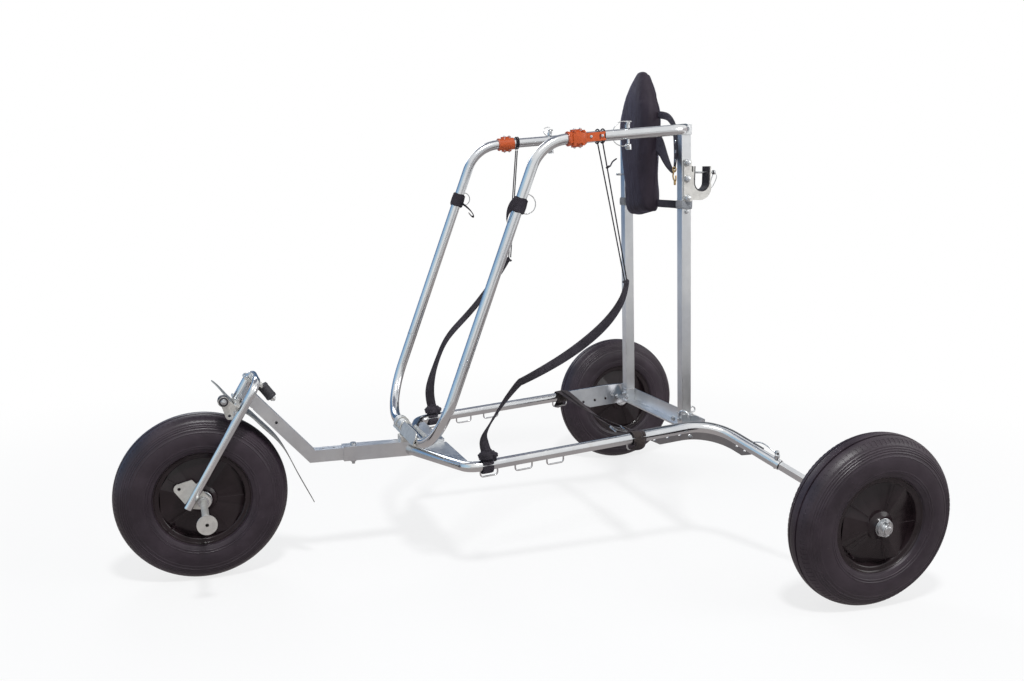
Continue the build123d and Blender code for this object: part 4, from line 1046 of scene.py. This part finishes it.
for side in (1, -1):                             # bright collars beside the front hub and dropouts
    x, _, z = wheels[0][2]
    inner = [(10.2, 0), (17.5, 0), (18.5, 0.9), (18.5, 2.4), (10.2, 2.4)]
    outer = [(8.2, 0), (12.5, 0), (13, 0.6), (13, 3.6), (8.2, 3.6)]
    addTurned(bm, inner, (x, side * 53, z), (0, side, 0), 40, True)
    addTurned(bm, outer, (x, side * 63.2, z), (0, side, 0), 36, True)
addHex(bm, (744, -58.6, 236), (0, 1, 0), 11, 2.4)
finishPiece("forkCollars", bm, "fork", boltSteel, 40)
print("axle pins made")

# Steering head: crown nut and cap, clamp bolts, dark lower nut and block, rubber stop and bumper ends

steering = {"rake": 30.5, "middle": (590, 0, 447), "bumper": ((30, 36), (15.2, 70.5))}
rake = math.radians(steering["rake"])
headUp = Vector((-math.sin(rake), 0, math.cos(rake)))
headBack = Vector((-math.cos(rake), 0, -math.sin(rake)))


def atFork(up, y, back=0):
    # a point counted from the head's middle: up the steering axis, to the left and back
    return Vector(steering["middle"]) + headUp * up + headBack * back + Vector((0, y, 0))


bumperFrom, bumperTo = (atFork(up, 0, back) for up, back in steering["bumper"])
bumperRun = bumperTo - bumperFrom
bumperWay = bumperRun.normalized()
bm = bmesh.new()
addTurned(bm, [(6, 0), (10.5, 0), (11, 0.6), (11, 2.4), (6, 2.4)], atFork(32.6, 0), headUp, 36, True)
addHex(bm, atFork(33.5, 0), headUp, 17, 7)
addTurned(bm, [(0, 6.5), (4.5, 6.3), (5.9, 5), (5.9, 0)], atFork(40.5, 0), headUp, 28)
for y in (17, -17):
    addBolt(bm, atFork(30, y, -8), headUp, 8, 4, 0.7, 2)
addBolt(bm, bumperTo + bumperWay * 1.2, bumperWay, 11, 5, 0.72, 3)
addBolt(bm, atFork(-32, 85.4, -36.8), (0, 1, 0), 9, 3.4, 0.74, 2.4)
addBolt(bm, atFork(-45.9, 63.4, 4), (0, 1, 0), 9, 4, 0.7, 2)
finishPiece("headBolts", bm, "fork", boltSteel, 40)
bm = bmesh.new()
addHex(bm, atFork(-42.5, 0), headUp, 22, 9.4)
addBox(bm, atFork(-46, 67, 10), (15, 9, 20), turnAbout("Y", -steering["rake"]), 2.2)
finishPiece("headDarkParts", bm, "fork", darkSteel, 40)
bm = bmesh.new()
addTurned(bm, [(4, 0), (11.8, 0), (12.7, 1.2), (12.9, 8), (12.9, 17), (12.3, 20.6), (10.8, 21.8), (4, 21.8)],
          atFork(-32, 63.3, -36.8), (0, 1, 0), 40, True)
finishPiece("stopRoller", bm, "fork", blackRubber, 40)
bm = bmesh.new()
length = bumperRun.length
addTurned(bm, [(12.5, 2), (13.1, 3), (13.1, 5), (12.5, 6.4), (12.5, length - 6.4), (13.1, length - 5),
               (13.1, length - 3), (12.4, length - 1.4)], bumperFrom, bumperRun, 40)
finishPiece("bumperRibs", bm, "fork", blackRubber, 40)
print("steering head dressed")

# Welds: small rolled beads round the feet of the uprights

weld = {"radius": 1.5, "half": 13, "z": 343.4}
bm = bmesh.new()
for side in (1, -1):
    foot = Vector((uprightX(343), side * line["uprightY"], weld["z"]))
    square = [foot + Vector((a, b, 0)) * weld["half"] for a, b in ((1, 1), (-1, 1), (-1, -1), (1, -1))]
    for a, b in zip(square, square[1:] + square[:1]):
        addWire(bm, [a, (a + b) / 2, b], weld["radius"], sides=2, perSpan=4)
finishPiece("frameWelds", bm, "frame", weldSteel, 60)
print("welds made")

# Floor and lights

studio = {"floor": 30.0, "floorShade": (0.86, 0.86, 0.86), "whitenNear": 0.78, "whitenFrom": 0.9,
          "whitenTo": 2.6, "aim": (0, 0, 0.45), "ambient": (0.82, 0.88, 0.97),
          "ambientStrength": 0.38, "key": ((0.5, 2.5, 4.7), 0.7, 170), "fill": ((-3.4, 2.2, 2.0), 2.4, 34),
          "back": ((0.6, -3.4, 2.8), 2.0, 36)}
# what the metal sees round it: a wall of soft tones by compass angle, the ground, and a dim ceiling behind
reflections = {"reach": 6.0, "wall": (-0.3, 5.6),
               "tones": [(-140, (0.11, 0.13, 0.15)), (-100, (0.07, 0.12, 0.21)), (-70, (0.10, 0.19, 0.34)),
                         (-30, (0.30, 0.50, 0.78)), (10, (0.56, 0.78, 0.95)), (40, (0.70, 0.80, 0.86))],
               "front": (-0.3, 1.1, 40, 150, (0.52, 0.52, 0.52)), "side": (-0.3, 2.4, 150, 220, (0.56, 0.52, 0.53)),
               "ground": (3.4, (0.42, 0.385, 0.38)), "ceiling": (2.6, (0, -2.4, 5.2), (0.26, 0.27, 0.33))}


def backgroundRays(tree):
    path = addNode(tree, "LightPath")
    total = path.outputs["Is Camera Ray"]
    for name in ("Is Glossy Ray", "Is Transmission Ray"):
        add = addNode(tree, "Math", operation="MAXIMUM")
        tree.links.new(total, add.inputs[0])
        tree.links.new(path.outputs[name], add.inputs[1])
        total = add.outputs[0]
    return total


def buildWorld():
    world = bpy.data.worlds.new("studio")
    world.use_nodes = True
    tree = world.node_tree
    tree.nodes.clear()
    out = addNode(tree, "OutputWorld")
    light = tree.nodes.new("ShaderNodeBackground")
    light.inputs["Color"].default_value = (*studio["ambient"], 1)
    light.inputs["Strength"].default_value = studio["ambientStrength"]
    white = tree.nodes.new("ShaderNodeBackground")
    white.inputs["Color"].default_value = (1, 1, 1, 1)
    mix = addNode(tree, "MixShader")
    tree.links.new(backgroundRays(tree), mix.inputs[0])
    tree.links.new(light.outputs[0], mix.inputs[1])
    tree.links.new(white.outputs[0], mix.inputs[2])
    tree.links.new(mix.outputs[0], out.inputs[0])
    stage.world = world


def buildFloor():
    mat, tree, shader = newShader("floorPaper", studio["floorShade"], 0.9)
    shader.inputs["Specular IOR Level"].default_value = 0.0
    glow = addNode(tree, "Emission")
    glow.inputs["Color"].default_value = (1, 1, 1, 1)
    far = addNode(tree, "VectorMath", operation="LENGTH")
    tree.links.new(coordsOf(tree), far.inputs[0])
    fade = addNode(tree, "MapRange", interpolation_type="SMOOTHSTEP")
    tree.links.new(far.outputs["Value"], fade.inputs["Value"])
    for key, value in (("From Min", studio["whitenFrom"]), ("From Max", studio["whitenTo"]),
                       ("To Min", studio["whitenNear"]), ("To Max", 1.0)):
        fade.inputs[key].default_value = value
    share = addNode(tree, "Math", operation="MULTIPLY")
    tree.links.new(backgroundRays(tree), share.inputs[0])
    tree.links.new(fade.outputs["Result"], share.inputs[1])
    mix = addNode(tree, "MixShader")
    tree.links.new(share.outputs[0], mix.inputs[0])
    tree.links.new(shader.outputs[0], mix.inputs[1])
    tree.links.new(glow.outputs[0], mix.inputs[2])
    tree.links.new(mix.outputs[0], tree.nodes["Material Output"].inputs[0])
    bm = bmesh.new()
    bmesh.ops.create_grid(bm, x_segments=1, y_segments=1, size=studio["floor"])
    mesh = bpy.data.meshes.new("floor")
    bm.to_mesh(mesh)
    bm.free()
    mesh.materials.append(mat)
    floor = bpy.data.objects.new("floor", mesh)
    stage.collection.objects.link(floor)


def addCard(name, bm, color=None):
    # a card that only the metal's reflections see, as a photographer sets one
    mesh = bpy.data.meshes.new(name)
    bm.to_mesh(mesh)
    bm.free()
    mat = bpy.data.materials.new(name)
    mat.use_nodes = True
    tree = mat.node_tree
    tree.nodes.clear()
    glow = addNode(tree, "Emission")
    if color:
        glow.inputs["Color"].default_value = (*color, 1)
    else:
        tone = addNode(tree, "Attribute", attribute_name="tone")
        tree.links.new(tone.outputs["Color"], glow.inputs["Color"])
    out = addNode(tree, "OutputMaterial")
    tree.links.new(glow.outputs[0], out.inputs[0])
    mesh.materials.append(mat)
    card = bpy.data.objects.new(name, mesh)
    stage.collection.objects.link(card)
    card.visible_camera = card.visible_diffuse = card.visible_shadow = card.visible_transmission = False


def wallCard(low, high, first, last, reach, steps=24):
    bm = bmesh.new()
    a = math.radians(first)
    verts = [bm.verts.new((reach * math.cos(a), reach * math.sin(a), z)) for z in (low, high)]
    edge = bm.edges.new(verts)
    bmesh.ops.spin(bm, geom=verts + [edge], cent=(0, 0, 0), axis=(0, 0, 1), angle=math.radians(last - first),
                   steps=steps, use_merge=False, use_duplicate=False)
    return bm


def buildReflections():
    r = reflections
    tones = r["tones"]
    bm = wallCard(*r["wall"], tones[0][0], tones[-1][0], r["reach"], 60)
    layer = bm.verts.layers.float_color.new("tone")
    for vert in bm.verts:
        angle = math.degrees(math.atan2(vert.co.y, vert.co.x))
        k = next((k for k in range(len(tones) - 2) if angle < tones[k + 1][0]), len(tones) - 2)
        share = min(1, max(0, (angle - tones[k][0]) / (tones[k + 1][0] - tones[k][0])))
        color = Vector(tones[k][1]).lerp(Vector(tones[k + 1][1]), share)
        vert[layer] = (*color, 1)
    addCard("sideTones", bm)
    for name in ("front", "side"):
        low, high, first, last, color = r[name]
        addCard(name + "Card", wallCard(low, high, first, last, r["reach"]), color)
    for name, at, size, color in (("groundCard", (0, 0, 0.002), r["ground"][0], r["ground"][1]),
                                  ("ceilingCard", r["ceiling"][1], r["ceiling"][0], r["ceiling"][2])):
        bm = bmesh.new()
        bmesh.ops.create_circle(bm, cap_ends=True, segments=64, radius=size)
        bmesh.ops.translate(bm, verts=bm.verts, vec=at)
        addCard(name, bm, color)


def addLamp(name, place, size, power):
    lamp = bpy.data.lights.new(name, "AREA")
    lamp.shape = "DISK"
    lamp.size = size
    lamp.energy = power
    holder = bpy.data.objects.new(name, lamp)
    aim = Vector(studio["aim"]) - Vector(place)
    holder.matrix_world = Matrix.Translation(place) @ aim.to_track_quat("-Z", "Y").to_matrix().to_4x4()
    stage.collection.objects.link(holder)


buildWorld()
buildFloor()
buildReflections()
for name in ("key", "fill", "back"):
    addLamp(name, *studio[name])
print("studio made")
